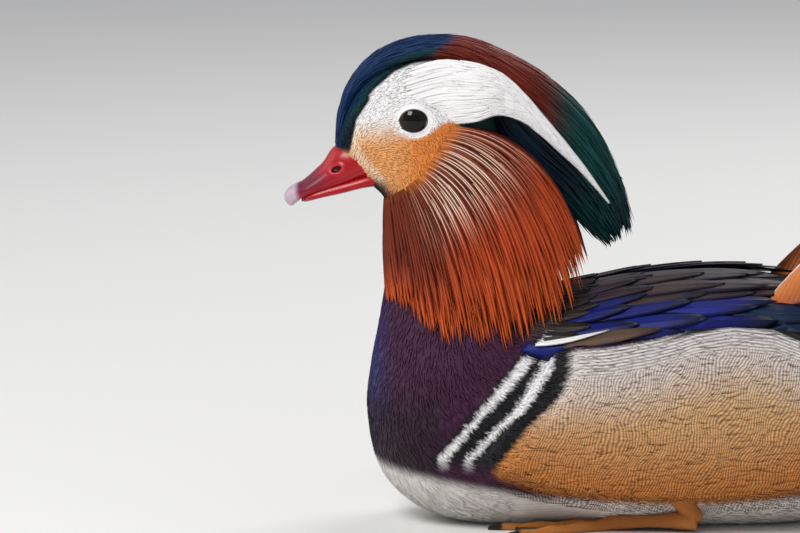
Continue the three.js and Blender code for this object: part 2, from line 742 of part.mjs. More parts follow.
function sail(side) {
  const steps = 10;
  const heights = [0, 0.3, 0.7, 0.92, 1];
  const grid = (face) =>
    Array.from({ length: steps + 1 }, (_, i) =>
      heights.map((height) => {
        const rib = i % 2 ? SAIL_RIB * (1 - height) : 0;
        const p = sailPoint(i / steps, height, side);
        return p.setY(p.y + face * (SAIL_THICKNESS / 2 + rib));
      }),
    );
  return slab(grid(1), grid(-1));
}

// The tail: a fan of stiff feathers under the rump, with short coverts above and below its root.
const RECTRIX_COUNT = 10;
const TAIL_ROOT = [150, 0, 61];
const TAIL_LENGTH = 70;
const TAIL_SPREAD = 0.36;
const TAIL_RISE = 0.13;
const RECTRIX_STACK = 0.55;
const COVERT_FANS = [
  { count: 3, start: 142, end: 178, z: [70, 69.5], spread: 10, half: 7 },
  { count: 3, start: 140, end: 184, z: [54, 60.5], spread: 11, half: 7.5 },
];

function tailFeather(turn, length, stack) {
  const [x, y, z] = TAIL_ROOT;
  const surface = (reach, out, lift) => {
    const [cos, sin] = [Math.cos(turn), Math.sin(turn)];
    const flat = vector(reach * cos - out * sin, reach * sin + out * cos, reach * TAIL_RISE);
    return vector(x, y, z + stack + lift).add(flat);
  };
  return feather(surface, VANE, { start: 0, end: length, across: 0, half: 6.4, thick: 1, lift: [0, 0] });
}

function tailCoverts({ count, start, end, z, spread, half }) {
  return Array.from({ length: count }, (_, i) => {
    const place = i - (count - 1) / 2;
    const surface = (x, out, lift) => {
      const share = (x - start) / (end - start);
      const y = place * spread * (0.7 + 0.3 * share) + out;
      return vector(x, y, mix(z[0], z[1], share) + lift - 0.02 * y * y);
    };
    const tip = end - 3 * Math.abs(place);
    return feather(surface, VANE, { start, end: tip, across: 0, half, thick: 1.2, lift: [0, 0] });
  });
}

function tail(flesh) {
  const middle = (RECTRIX_COUNT - 1) / 2;
  const rectrices = Array.from({ length: RECTRIX_COUNT }, (_, i) => {
    const place = (i - middle) / middle;
    const length = TAIL_LENGTH * (1 - 0.12 * place * place);
    return tailFeather(TAIL_SPREAD * place, length, -RECTRIX_STACK * Math.abs(i - middle));
  });
  return join([flesh, ...rectrices, ...COVERT_FANS.flatMap(tailCoverts)]);
}

// The leg: heel x y z, ankle of the toes x y z. The tibia goes up into the belly's side.
const HEEL = [22, 38, 5.2];
const KNUCKLE = [-13, 33, 3.2];
const TIBIA_TOP = [8, 42, 24];
const LEG_END_X = -9;
const HIND_TOE = [[1, 1, 2.4], [7, 7, 1.6], [10, 9, 1]];
const TOES = [
  { length: 37, turn: 0.42 },
  { length: 48, turn: 0.02 },
  { length: 44, turn: -0.4 },
];

// A round limb between points, each with its own radius.
function limb(points, radii) {
  return loft(
    points.map((p, i) => {
      const before = points[Math.max(i - 1, 0)];
      const after = points[Math.min(i + 1, points.length - 1)];
      const ahead = after.clone().sub(before).normalize();
      const across = vector(0, 1, 0).cross(ahead).normalize();
      const other = ahead.clone().cross(across);
      return Array.from({ length: 5 }, (_, j) => {
        const v = (2 * HALF_TURN * j) / 5;
        const q = p.clone();
        q.addScaledVector(across, radii[i] * Math.cos(v)).addScaledVector(other, radii[i] * Math.sin(v));
        return q.setZ(Math.max(q.z, 0));
      });
    }),
  );
}

function leg(side) {
  const [heel, knuckle, top] = [HEEL, KNUCKLE, TIBIA_TOP].map(([x, y, z]) => vector(x, side * y, z));
  const shin = limb([knuckle, heel.clone().lerp(knuckle, 0.4), heel], [2.6, TARSUS_RADIUS, 4.4]);
  const thigh = limb([heel, heel.clone().lerp(top, 0.5), top], [4.4, 6, 9]);
  return cut(join([shin, thigh]), above([[LEG_END_X, 0], [LEG_END_X, 30]]));
}

function toePoint({ length, turn }, share, side) {
  const [x, y] = KNUCKLE;
  return vector(x - length * share * Math.cos(turn), side * (y - length * share * Math.sin(turn)), 0);
}

function foot(side) {
  const radii = [2.7, 2.1, 1.5, 0.6];
  const toes = TOES.map((toe) => {
    const points = [0, 0.4, 0.86, 1].map((share, i) => toePoint(toe, share, side).setZ(radii[i] * 0.8));
    return limb(points, radii);
  });
  const web = TOES.slice(1).map((toe, i) => {
    const rows = [0.1, 0.45, 0.8].map((share) => {
      const near = toePoint(TOES[i], share, side);
      const far = toePoint(toe, share, side);
      const middle = near.clone().lerp(far, 0.5);
      return [near, middle.setX(middle.x + share * 0.14 * TOES[1].length), far];
    });
    const raise = (z) => rows.map((row) => row.map((p) => p.clone().setZ(z)));
    return slab(raise(WEB_THICKNESS), raise(0));
  });
  const [x, y] = KNUCKLE;
  const hind = limb(
    HIND_TOE.map(([ahead, inward, height]) => vector(x + ahead, side * (y - inward), height)),
    [2, 1.6, 0.7],
  );
  const behindKnuckle = above([[LEG_END_X - GAP, 30], [LEG_END_X - GAP, 0]]);
  return cut(join([...toes, ...web, hind]), behindKnuckle);
}

const body = wholeBody();
const bodyRoom = wholeBody(GAP);
const belowHead = cut(body, above(HEAD_CUT, -GAP / 2));
const behindTail = above([TAIL_CUT[1], TAIL_CUT[0]], GAP / 2);
const beforeTail = above([TAIL_CUT[1], TAIL_CUT[0]], -GAP / 2);
const billRoom = [billLoft(UPPER_BILL_ROWS, undefined, GAP), billLoft(LOWER_BILL_ROWS, LOWER_BILL_TIP, GAP)];

const solids = {};
const headFlesh = join([body.intersect(above(HEAD_CUT, GAP / 2)), lids(LEFT), lids(RIGHT)]);
solids.head = cut(headFlesh, ...billRoom, eyeBall(LEFT, GAP), eyeBall(RIGHT, GAP));
solids.neck = belowHead.intersect(above(NECK_CUT, GAP / 2));
solids.torso = cut(belowHead, above(NECK_CUT, -GAP / 2), beforeTail);
solids.bill_upper = cut(billLoft(UPPER_BILL_ROWS), nostril(LEFT), nostril(RIGHT));
solids.bill_lower = billLoft(LOWER_BILL_ROWS, LOWER_BILL_TIP);
solids.bill_nail = billLoft(NAIL_ROWS, NAIL_TIP);
solids.tail = cut(tail(body.intersect(behindTail)), cut(bodyRoom, behindTail));

const brows = [brow(LEFT), brow(RIGHT)].map((plume) => cut(plume, bodyRoom));
solids.crest = cut(crest(), bodyRoom, ...brows.map(roomOf), ...billRoom);
const crestRoom = crestCore(-CREST_CLEAR, CREST_ROWS.length - 1, 0);

[["left", LEFT], ["right", RIGHT]].forEach(([name, side], i) => {
  const put = (node, piece) => (solids[node + "_" + name] = largest(piece));
  put("eye", eyeBall(side));
  put("brow", brows[i]);
  put("ruff", cut(ruff(side), bodyRoom, crestRoom, roomOf(brows[i]), lids(side)));
  put("flank", cut(flank(side), bodyRoom));
  const front = ruffCore(side, 1, RUFF_CLEAR);
  const panel = flankPad(side, FLANK_CLEAR);
  const seam = backSeam(side);
  put("scapulars", cut(scapulars(side), bodyRoom, front, seam));
  const folded = put("wing", cut(wing(side), bodyRoom, front, seam, panel));
  const backRoom = [bodyRoom, panel, roomOf(folded), roomOf(solids["scapulars_" + name])];
  put("sail", cut(sail(side), ...backRoom));
  put("primaries", cut(primaries(side), ...backRoom));
  put("leg", cut(leg(side), bodyRoom, panel));
  put("foot", cut(foot(side), bodyRoom, panel));
});

const COLOURS = {
  head: ["#e4a25f", 0.8],
  neck: ["#7a3c22", 0.8],
  torso: ["#33202f", 0.75],
  bill_upper: ["#b51a25", 0.35],
  bill_lower: ["#a01518", 0.35],
  bill_nail: ["#cbb6bd", 0.35],
  eye: ["#0c0908", 0.08],
  crest: ["#16343a", 0.6],
  brow: ["#f0ebec", 0.8],
  ruff: ["#b8562a", 0.75],
  flank: ["#b98a58", 0.8],
  wing: ["#232a5a", 0.55],
  scapulars: ["#574450", 0.6],
  primaries: ["#4b4a52", 0.6],
  sail: ["#c9733a", 0.7],
  tail: ["#3b342c", 0.7],
  leg: ["#c98a3c", 0.6],
  foot: ["#9c6a32", 0.6],
};

// A named mesh of one solid, keeping its largest closed body.
function meshOf(name, piece) {
  const found = largest(piece).getMesh();
  const geometry = new THREE.BufferGeometry();
  const position = new Float32Array(found.numVert * 3);
  for (let i = 0; i < found.numVert; i++) {
    position.set(found.vertProperties.subarray(i * found.numProp, i * found.numProp + 3), i * 3);
  }
  geometry.setAttribute("position", new THREE.BufferAttribute(position, 3));
  geometry.setIndex(new THREE.BufferAttribute(found.triVerts, 1));
  geometry.computeVertexNormals();
  const [color, roughness] = COLOURS[name] ?? COLOURS[name.replace(/_(left|right)$/, "")];
  const mesh = new THREE.Mesh(geometry, new THREE.MeshStandardMaterial({ color, roughness, metalness: 0 }));
  mesh.name = name;
  return mesh;
}

const duck = new THREE.Group();
for (const [name, piece] of Object.entries(solids)) {
  duck.add(meshOf(name, piece));
}

export default duck;
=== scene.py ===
import math

import bpy
import numpy as np
from bpy.props import FloatProperty, FloatVectorProperty, IntProperty, PointerProperty
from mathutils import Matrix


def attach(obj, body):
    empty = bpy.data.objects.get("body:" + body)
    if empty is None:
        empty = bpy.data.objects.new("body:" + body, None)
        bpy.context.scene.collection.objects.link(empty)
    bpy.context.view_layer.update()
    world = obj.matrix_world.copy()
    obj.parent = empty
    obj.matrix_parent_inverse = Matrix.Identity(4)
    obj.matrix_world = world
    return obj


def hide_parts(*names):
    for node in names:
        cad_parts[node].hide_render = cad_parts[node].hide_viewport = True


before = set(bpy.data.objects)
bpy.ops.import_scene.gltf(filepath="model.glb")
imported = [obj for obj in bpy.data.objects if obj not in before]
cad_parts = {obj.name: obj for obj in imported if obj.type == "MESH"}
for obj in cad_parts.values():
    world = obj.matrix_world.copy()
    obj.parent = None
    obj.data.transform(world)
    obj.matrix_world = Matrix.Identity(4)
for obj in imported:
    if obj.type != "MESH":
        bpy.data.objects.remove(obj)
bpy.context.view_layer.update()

bl_info = {
    "name": "Mandarin Drake",
    "version": (1, 0, 0),
    "blender": (4, 5, 0),
    "location": "View3D > Sidebar > Drake",
    "description": "Builds a life-size mandarin drake: skin, plumage, bill, eyes and feet",
    "category": "Add Mesh",
}

MM = 0.001
PI = math.pi
SIDES = ((-1, "left"), (1, "right"))
SECTION_POWER = 2.15
HALVINGS = 22
SKIN_DEPTH = 0.3
# Half the width of a feather's patch on the bake map.
BAKE_PATCH = 0.0015
# The flank's feathers stand further from the mid-plane than this.
FLANK_INNER = 20

# The body's rings in millimetres: number, back line x z, belly line x z, half width, and the share of the
# height where the ring is widest.
BODY_ROWS = [
    (0, -122.3, 149.8, -107.0, 134.6, 7.8, 0.5), (1, -120.8, 155.0, -106.6, 134.0, 8.8, 0.48),
    (2, -119.0, 162.0, -106.0, 133.4, 10.6, 0.46), (3, -115.8, 171.0, -105.2, 132.7, 13.0, 0.45),
    (4, -110.0, 179.5, -104.4, 132.0, 15.0, 0.44), (5, -101.0, 186.0, -103.6, 131.2, 16.6, 0.43),
    (6, -90.0, 189.5, -102.9, 130.3, 17.8, 0.43), (7, -78.0, 189.5, -102.2, 129.3, 18.6, 0.43),
    (8, -67.5, 185.5, -101.6, 128.0, 19.0, 0.43), (9, -60.5, 178.0, -101.1, 126.3, 19.1, 0.44),
    (10, -56.8, 168.0, -100.8, 124.0, 19.0, 0.46), (11, -55.0, 157.0, -100.6, 120.5, 18.8, 0.48),
    (12, -54.2, 146.0, -100.6, 115.5, 18.8, 0.5), (13, -53.6, 135.0, -100.8, 109.0, 19.5, 0.5),
    (14, -52.8, 124.0, -101.3, 100.5, 21.5, 0.5), (15, -51.5, 113.5, -102.5, 90.0, 25.5, 0.5),
    (16, -49.5, 104.0, -104.8, 77.0, 31.0, 0.5), (17, -46.0, 97.0, -107.6, 62.0, 37.0, 0.49),
    (18, -40.0, 92.5, -109.0, 43.0, 42.5, 0.48), (19, -30.0, 90.5, -103.0, 19.0, 46.5, 0.47),
    (20, -16.0, 91.0, -84.0, 3.0, 49.5, 0.46), (21, 4.0, 93.0, -52.0, -2.5, 51.0, 0.45),
    (22, 30.0, 94.0, -10.0, -3.0, 52.0, 0.45), (23, 58.0, 92.5, 32.0, -3.0, 51.0, 0.46),
    (24, 86.0, 89.0, 68.0, -0.5, 47.5, 0.48), (25, 112.0, 84.0, 98.0, 10.0, 41.0, 0.5),
    (26, 134.0, 78.0, 124.0, 25.0, 32.5, 0.5), (27, 152.0, 72.0, 146.0, 40.0, 22.5, 0.5),
    (28, 166.0, 67.5, 163.0, 53.0, 13.0, 0.5), (29, 171.5, 61.5, 171.0, 60.5, 0.5, 0.5),
]
LAST_RING = len(BODY_ROWS) - 1

# The crest: place along it, upper outline x z, lower outline x z, half width.
CREST_ROWS = [
    (0, -123.0, 150.6, -119.0, 152.0, 3.0), (1, -121.4, 163.0, -116.0, 164.0, 6.5),
    (2, -117.6, 174.4, -112.0, 172.0, 9.0), (3, -110.5, 184.2, -105.0, 178.0, 11.0),
    (4, -100.0, 191.2, -97.0, 182.0, 12.5), (5, -86.0, 194.6, -85.0, 184.0, 13.6),
    (6, -70.0, 194.2, -74.0, 180.0, 14.6), (7, -55.0, 189.0, -63.0, 168.0, 15.4),
    (8, -41.5, 181.5, -57.0, 152.0, 15.6), (9, -29.5, 172.0, -47.0, 139.0, 15.0),
    (10, -19.5, 160.0, -36.0, 130.0, 13.4), (11, -12.0, 146.0, -26.0, 121.5, 11.0),
    (12, -7.0, 133.0, -19.0, 115.0, 8.0), (13, -3.6, 119.0, -12.5, 110.5, 4.0),
    (13.5, -2.6, 114.0, -12.0, 108.5, 3.4),
]
CREST_END = 13.4
CREST_CORE_END = 10.5

# The white brow plume: place along it, upper edge x z, lower edge x z, distance from the mid-plane.
BROW_ROWS = [
    (0, -98.0, 181.0, -93.0, 157.0, 16.5), (1, -80.6, 186.4, -80.8, 160.2, 18.0),
    (2, -67.2, 185.6, -66.0, 162.0, 19.8), (3, -56.2, 181.5, -56.8, 164.8, 19.6),
    (4, -47.5, 174.0, -47.4, 162.0, 18.8), (5, -38.5, 163.6, -40.9, 157.0, 17.8),
    (6, -31.0, 154.6, -33.2, 149.8, 16.4), (7, -22.0, 142.9, -23.7, 140.6, 13.8),
    (8, -12.3, 128.6, -12.9, 128.0, 11.0),
]

# The ruff's fan: share of the fan, root x z y, bend x z y, tip x z y.
RUFF_ROWS = [
    (0, -102.4, 129.0, 3.0, -103.4, 110.0, 5.0, -101.6, 88.0, 6.0),
    (0.12, -101.0, 131.0, 10.0, -99.0, 111.0, 15.0, -96.0, 88.0, 20.0),
    (0.3, -94.0, 135.5, 16.5, -84.0, 113.0, 27.0, -78.0, 76.0, 33.0),
    (0.5, -87.0, 142.0, 19.0, -66.5, 132.0, 33.0, -56.0, 74.0, 38.0),
    (0.68, -82.5, 149.0, 19.6, -54.0, 144.0, 35.0, -42.0, 78.0, 38.0),
    (0.84, -79.0, 155.0, 19.4, -44.0, 153.0, 33.0, -29.0, 86.0, 34.0),
    (1, -76.0, 160.0, 19.0, -37.0, 160.5, 28.0, -20.5, 104.0, 22.0),
]

# The ruff's upper layers: name, hackles as a multiple of a row's number, rows, share of the hackle width,
# rise of the tips in millimetres, and how pale the shafts are.
RUFF_LAYERS = [("", 1, 7, 1.0, 1.7, 1.0), ("fine_", 3, 5, 0.48, 0.9, 0.2)]
# How much of the shaft's colour each point of a hackle's section shows; the rest is the side colour,
# partly painted shade.
SHAFT_SHARE = np.array([0, 0.06, 1, 0.06, 0])

# The flank panel's edges in profile, x z, and the two white bars before it, z and the bar's x.
FLANK_LOW = [(-66, 30), (-56, 22), (-38, 16), (-18, 13), (6, 11.5), (30, 11.5), (54, 13.5), (76, 19),
             (94, 27), (118, 47)]
FLANK_HIGH = [(-36, 72), (-26, 74.5), (-12, 75.5), (4, 78.5), (20, 83), (36, 85.3), (52, 83.8), (68, 78),
              (84, 70), (110, 56)]
FLANK_FRONT = [(30, -66), (72, -36)]
FLANK_SWELL = 6.4
FLANK_TINT_FRONT = [(24, -60), (30, -57), (45.4, -44.8), (56.6, -33.2), (65.8, -28.8), (76, -28.4)]
BAR_ONE = [(30, -79), (41.5, -70), (73.5, -42), (80, -36)]
BAR_TWO = [(30, -69), (40.3, -60), (52.3, -48), (66.3, -38.8), (77, -36.5)]

# The pads of wing and scapulars on the back: ring, inner angle, outer angle, thickness.
PAD_ROWS = [
    (18.2, 0.3, 0.7, 0.5), (19, 0.2, 0.94, 4.0), (20, 0.16, 0.98, 5.4), (21, 0.16, 0.96, 6.2),
    (22, 0.18, 0.9, 6.2), (23, 0.22, 0.86, 5.2), (24, 0.34, 0.84, 2.6), (25, 0.4, 0.8, 0.4),
]

# The bill: place along it, top x z, bottom x z, half width.
UPPER_BILL_ROWS = [
    (0, -117.5, 152.0, -104.8, 138.5, 9.6), (1, -122.8, 149.4, -109.5, 137.3, 9.3),
    (2, -126.6, 143.8, -115.5, 135.5, 8.8), (3, -129.6, 140.8, -121.5, 133.7, 8.3),
    (4, -132.4, 138.2, -127.5, 131.9, 7.9), (5, -135.2, 136.0, -132.4, 130.3, 7.4),
    (6, -137.4, 135.1, -135.4, 128.9, 6.6), (7, -140.0, 133.6, -137.4, 127.4, 5.6),
    (8, -142.0, 131.0, -139.0, 126.2, 4.0), (8.5, -142.3, 128.6, -140.0, 126.1, 2.2),
]
LOWER_BILL_ROWS = [
    (0, -103.8, 141.6, -106.5, 134.0, 9.0), (1, -109.8, 140.4, -111.6, 133.2, 9.2),
    (2, -117.0, 138.2, -118.6, 131.4, 8.8), (3, -125.0, 135.6, -126.6, 129.6, 8.1),
    (4, -132.2, 132.8, -133.0, 128.0, 6.8), (5, -135.2, 130.0, -135.3, 127.8, 2.6),
]
NOSTRIL = (-121.3, 141.6)
EYE = (-90.6, 13.2, 162.4)
EYE_RADIUS = 7.2
# The white round the eye is longer than high by this, and the eyeball sits in a socket this deep.
EYE_STRETCH = 1.15
SOCKET_DEPTH = 1.6


def srgb(red, green, blue):
    """A colour from eight-bit sRGB values, as linear light."""
    value = np.array((red, green, blue)) / 255
    return np.where(value > 0.04045, ((value + 0.055) / 1.055) ** 2.4, value / 12.92)


WHITE = srgb(246, 243, 242)
CREAM = srgb(242, 218, 188)
BUFF_CHEEK = srgb(236, 168, 104)
ORANGE_CHEEK = srgb(228, 138, 66)
FOREHEAD_BLUE = srgb(4, 42, 84)
CROWN_GREEN = srgb(6, 62, 62)
MAROON = srgb(112, 34, 20)
CREST_GREEN = srgb(8, 64, 62)
CREST_NAVY = srgb(8, 26, 40)
RUST = srgb(116, 44, 20)
BREAST = srgb(60, 16, 50)
# Painted sheen: the blue that the breast's gloss shows, laid into its colour.
BREAST_PAINTED_SHEEN = srgb(40, 46, 108)
BELLY = srgb(232, 226, 220)
FLANK_PALE = srgb(226, 218, 214)
FLANK_BUFF = srgb(224, 176, 122)
FLANK_DEEP = srgb(208, 130, 64)
BLACK = srgb(14, 13, 18)
BACK = srgb(64, 48, 44)
RUMP = srgb(58, 50, 40)
WING_BLUE = srgb(16, 26, 104)
SCAPULAR = srgb(58, 42, 46)
SAIL_ORANGE = srgb(206, 110, 44)
VENT = srgb(214, 196, 168)
RED_BILL = srgb(164, 6, 16)
DARK_BILL = srgb(120, 12, 18)
PINK_NAIL = srgb(184, 160, 176)
FOOT_ORANGE = srgb(206, 128, 52)
WEB_DARK = srgb(66, 52, 42)
IRIS = srgb(24, 12, 8)


def step(low, high, value):
    """A smooth rise from 0 at low to 1 at high."""
    t = np.clip((value - low) / (high - low), 0, 1)
    return t * t * (3 - 2 * t)


def blend(base, over, mask):
    """base with the colour over laid on by a mask."""
    return base + (over - base) * np.asarray(mask)[..., None]


def lookup(points, key):
    """Straight-line reading of a list of (key, value) points."""
    keys, values = np.array(points, float).T
    return np.interp(key, keys, values)


def unit(vectors):
    """Vectors cut to length one."""
    return vectors / np.maximum(np.linalg.norm(vectors, axis=-1, keepdims=True), 1e-9)


def smooth_table(rows):
    """A function that reads a table of (key, values...) rows on a smooth cubic curve through the rows."""
    data = np.array(rows, float)
    keys, values = data[:, 0], data[:, 1:]
    after, before = np.r_[1:len(keys), len(keys) - 1], np.r_[0, 0:len(keys) - 1]
    slopes = (values[after] - values[before]) / (keys[after] - keys[before])[:, None]

    def read(key):
        key = np.clip(key, keys[0], keys[-1])
        i = np.clip(np.searchsorted(keys, key, side="right") - 1, 0, len(keys) - 2)
        height = (keys[i + 1] - keys[i])[..., None]
        t = (key - keys[i])[..., None] / height
        swing = t * (1 - t) ** 2 * height * slopes[i] + t * t * (t - 1) * height * slopes[i + 1]
        return values[i] + (values[i + 1] - values[i]) * t * t * (3 - 2 * t) + swing

    return read


body_row = smooth_table(BODY_ROWS)
crest_row = smooth_table(CREST_ROWS)
brow_row = smooth_table(BROW_ROWS)
ruff_row = smooth_table(RUFF_ROWS)
pad_row = smooth_table(PAD_ROWS)


def rounded(value):
    """A sine or cosine bent so that a ring is a little squarer than an ellipse."""
    return np.sign(value) * np.abs(value) ** (2 / SECTION_POWER)


def ring_point(u, v):
    """The flesh at ring u and angle v from the back: height along the ring's own line, width across."""
    top_x, top_z, low_x, low_z, half, widest = np.moveaxis(body_row(u), -1, 0)
    rise = rounded(np.cos(v))
    height = widest + np.where(rise > 0, 1 - widest, widest) * rise
    return np.stack([low_x + (top_x - low_x) * height, half * rounded(np.sin(v)),
                     low_z + (top_z - low_z) * height], -1)


def flank_place(x, z):
    """How far a profile point is inside the flank panel from its front, rear, lower and upper edge."""
    front = x - lookup(FLANK_FRONT, z)
    high = lookup(FLANK_HIGH, x) - z
    low = z - lookup(FLANK_LOW, x)
    return front, 118 - x, low, high


def pad_lift(u, v, p):
    """The height of flank, wing and scapulars over the flesh, a rounded step at the edges of each."""
    front, rear, low, high = flank_place(p[..., 0], p[..., 2])
    side = step(0.6, 0.9, np.abs(v)) * step(2.9, 2.2, np.abs(v))
    edge = step(0, 4, front) * step(0, 26, rear) * step(0, 9, low) * step(-0.6, 2.2, high)
    flank = FLANK_SWELL * edge * side
    inner, outer, thick = np.moveaxis(pad_row(u), -1, 0)
    angle = np.abs(v)
    back = thick * step(inner - 0.06, inner + 0.1, angle) * step(outer + 0.1, outer - 0.04, angle)
    back = back * step(18.1, 18.8, u) * step(25.1, 24, u) * step(4, -1.5, high)
    return np.maximum(flank, back)


def body_point(u, v, lift=0.0, pads=True):
    """The flesh raised along its normal by the pads on it and by a lift, never under the floor."""
    u = np.asarray(u, float)
    v = np.asarray(v, float)
    h = 0.02
    low = np.clip(u - h, 0, LAST_RING - 2 * h)
    p = ring_point(u, v)
    along = ring_point(low + 2 * h, v) - ring_point(low, v)
    across = ring_point(u, v + h) - ring_point(u, v - h)
    normal = unit(np.cross(along, across))
    raised = lift + (pad_lift(u, v, p) if pads else 0)
    p = p + normal * np.asarray(raised)[..., None]
    p[..., 2] = np.maximum(p[..., 2], 0)
    return p


def locate(x, z):
    """The ring and the angle of the flesh's side at a profile point, by halving the range of rings."""
    low, high = np.zeros_like(x), np.full_like(x, LAST_RING)
    for _ in range(HALVINGS):
        u = (low + high) / 2
        top_x, top_z, low_x, low_z = np.moveaxis(body_row(u)[..., :4], -1, 0)
        before = (top_x - low_x) * (z - low_z) - (top_z - low_z) * (x - low_x) < 0
        low, high = np.where(before, u, low), np.where(before, high, u)
    top_x, top_z, low_x, low_z, _, widest = np.moveaxis(body_row(low), -1, 0)
    rise = (z - low_z) * (top_z - low_z) + (x - low_x) * (top_x - low_x)
    rise = rise / ((top_z - low_z) ** 2 + (top_x - low_x) ** 2)
    share = np.clip((rise - widest) / np.where(rise > widest, 1 - widest, widest), -1, 1)
    return low, np.arccos(np.sign(share) * np.abs(share) ** (SECTION_POWER / 2))


def flesh_reach(x, z):
    """How far the flesh reaches from the mid-plane at a profile point."""
    return np.abs(ring_point(*locate(x, z))[..., 1])


def crest_point(t, angle, lift=0.0):
    """The crest: an ellipse between its upper and lower outline, lifted out from its middle line."""
    up_x, up_z, low_x, low_z, half = np.moveaxis(crest_row(t), -1, 0)
    rise = 0.5 * np.cos(angle)
    p = np.stack([(up_x - low_x) * rise, half * np.sin(angle), (up_z - low_z) * rise], -1)
    size = np.linalg.norm(p, axis=-1, keepdims=True)
    p = p * (1 + np.asarray(lift)[..., None] / np.maximum(size, 0.5))
    return p + np.stack([(up_x + low_x) / 2, 0 * half, (up_z + low_z) / 2], -1)


def ruff_point(side, t, fan, lift=0.0, depth=0.0):
    """The ruff's outer face: at each share of the fan a quadratic curve from root over bend to tip,
    with its distance from the mid-plane kept clear of the flesh."""
    row = ruff_row(fan)
    t = np.asarray(t)[..., None]
    bend = (1 - t) ** 2 * row[..., 0:3] + 2 * t * (1 - t) * row[..., 3:6] + t * t * row[..., 6:9]
    x, z, y = np.moveaxis(bend, -1, 0)
    y = np.maximum(y * (1 - depth), flesh_reach(x, z) + 0.6) + lift
    return np.stack([x, side * np.maximum(y, 0.3), z], -1)


def brow_point(side, t, across, lift=0.0):
    """The brow plume: across runs from its lower edge (-1) to its upper edge (1)."""
    up_x, up_z, low_x, low_z, y = np.moveaxis(brow_row(t), -1, 0)
    share = (1 + across) / 2
    x, z = low_x + (up_x - low_x) * share, low_z + (up_z - low_z) * share
    return np.stack([x, side * (y - 1.2 * across ** 2 + lift), z], -1)


# Edges of the markings: the white brow's top and foot as x z, then the crown's front edge and the bill's
# base as z x.
BROW_TOP = [(-113.2, 162.2), (-111.2, 168.4), (-106, 174.4), (-98.4, 181), (-90.8, 184.4), (-80.6, 186.2),
            (-67.2, 185.8), (-56.2, 181.5), (-49.5, 175.7), (-37.8, 162.8), (-22.5, 143.2), (-12, 128)]
BROW_FOOT = [(-113, 158), (-100, 159), (-95, 157), (-89.9, 155.2), (-84.7, 157),
             (-80.8, 160.4), (-77, 161.9), (-63.6, 162), (-56.8, 165.3), (-47, 162.8),
             (-40.9, 157.3), (-31.7, 148.8), (-12, 127)]
BLUE_EDGE = [(140, -117.2), (149, -115.8), (162, -113.2), (170, -108)]
BILL_EDGE = [(134, -104), (138.5, -104.8), (145, -110.5), (152, -115)]
CHIN = (-106, 131.5)


def head_colour(x, z):
    """Crown blue to maroon, a white brow, an orange cheek that pales to the lores, and a rust throat."""
    upper = lookup(BROW_TOP, x)
    lower = lookup(BROW_FOOT, x)
    soft = 0.7 + 6 * step(-88, -100, x)
    cheek = blend(ORANGE_CHEEK + 0 * z[..., None], BUFF_CHEEK, step(-86, -100, x))
    cheek = blend(cheek, CREAM, 0.8 * step(148, 164, z) * step(-94, -106, x))
    cheek = blend(cheek, CREAM, 0.8 * step(4.5, 1.0, np.abs(x - lookup(BILL_EDGE, z))))
    cheek = blend(cheek, RUST, step(139, 127, z + 0.35 * (x + 100)) * step(-70, -96, x))
    chin = np.hypot(x - CHIN[0], z - CHIN[1])
    cheek = blend(cheek, BLACK, 0.85 * step(7.5, 3, chin))
    colour = blend(cheek, WHITE, step(-soft, soft, z - lower))
    eye = np.hypot((x - EYE[0]) / EYE_STRETCH, z - EYE[2])
    colour = blend(colour, WHITE, step(7.5, 6.3, eye))
    under = step(-76, -70, x) * step(0.8, -0.8, z - lower)
    colour = blend(colour, blend(CREST_GREEN + 0 * z[..., None], CREST_NAVY, step(154, 140, z)), under)
    blue = lookup(BLUE_EDGE, z)
    crown = np.maximum(step(-0.5, 0.5, z - upper), step(0.4, -0.5, x - blue) * step(147, 150, z))
    return blend(colour, crown_colour(x, z), crown)


def crown_colour(x, z):
    """Green black by the white brow, blue along the ridge, maroon behind, and green at the tips."""
    inward = np.maximum(z - lookup(BROW_TOP, x), np.where(z < 172, lookup(BLUE_EDGE, z) - x, 0))
    dark = blend(CREST_NAVY * 0.6 + 0 * z[..., None], CROWN_GREEN,
                 step(0.5, 3.5, inward) * step(152, 166, z))
    dark = blend(dark, FOREHEAD_BLUE, step(2.5, 6.5, inward))
    back = x + 86 - 1.5 * np.clip(inward, 0, 12)
    dark = blend(dark, MAROON, step(-1.5, 1.5, back))
    dark = blend(dark, MAROON * 0.45, 0.7 * step(-48, -34, x))
    tips = blend(CREST_GREEN + 0 * z[..., None], CREST_NAVY, 0.5 * step(150, 124, z))
    return blend(dark, tips, step(-40, -26, x))


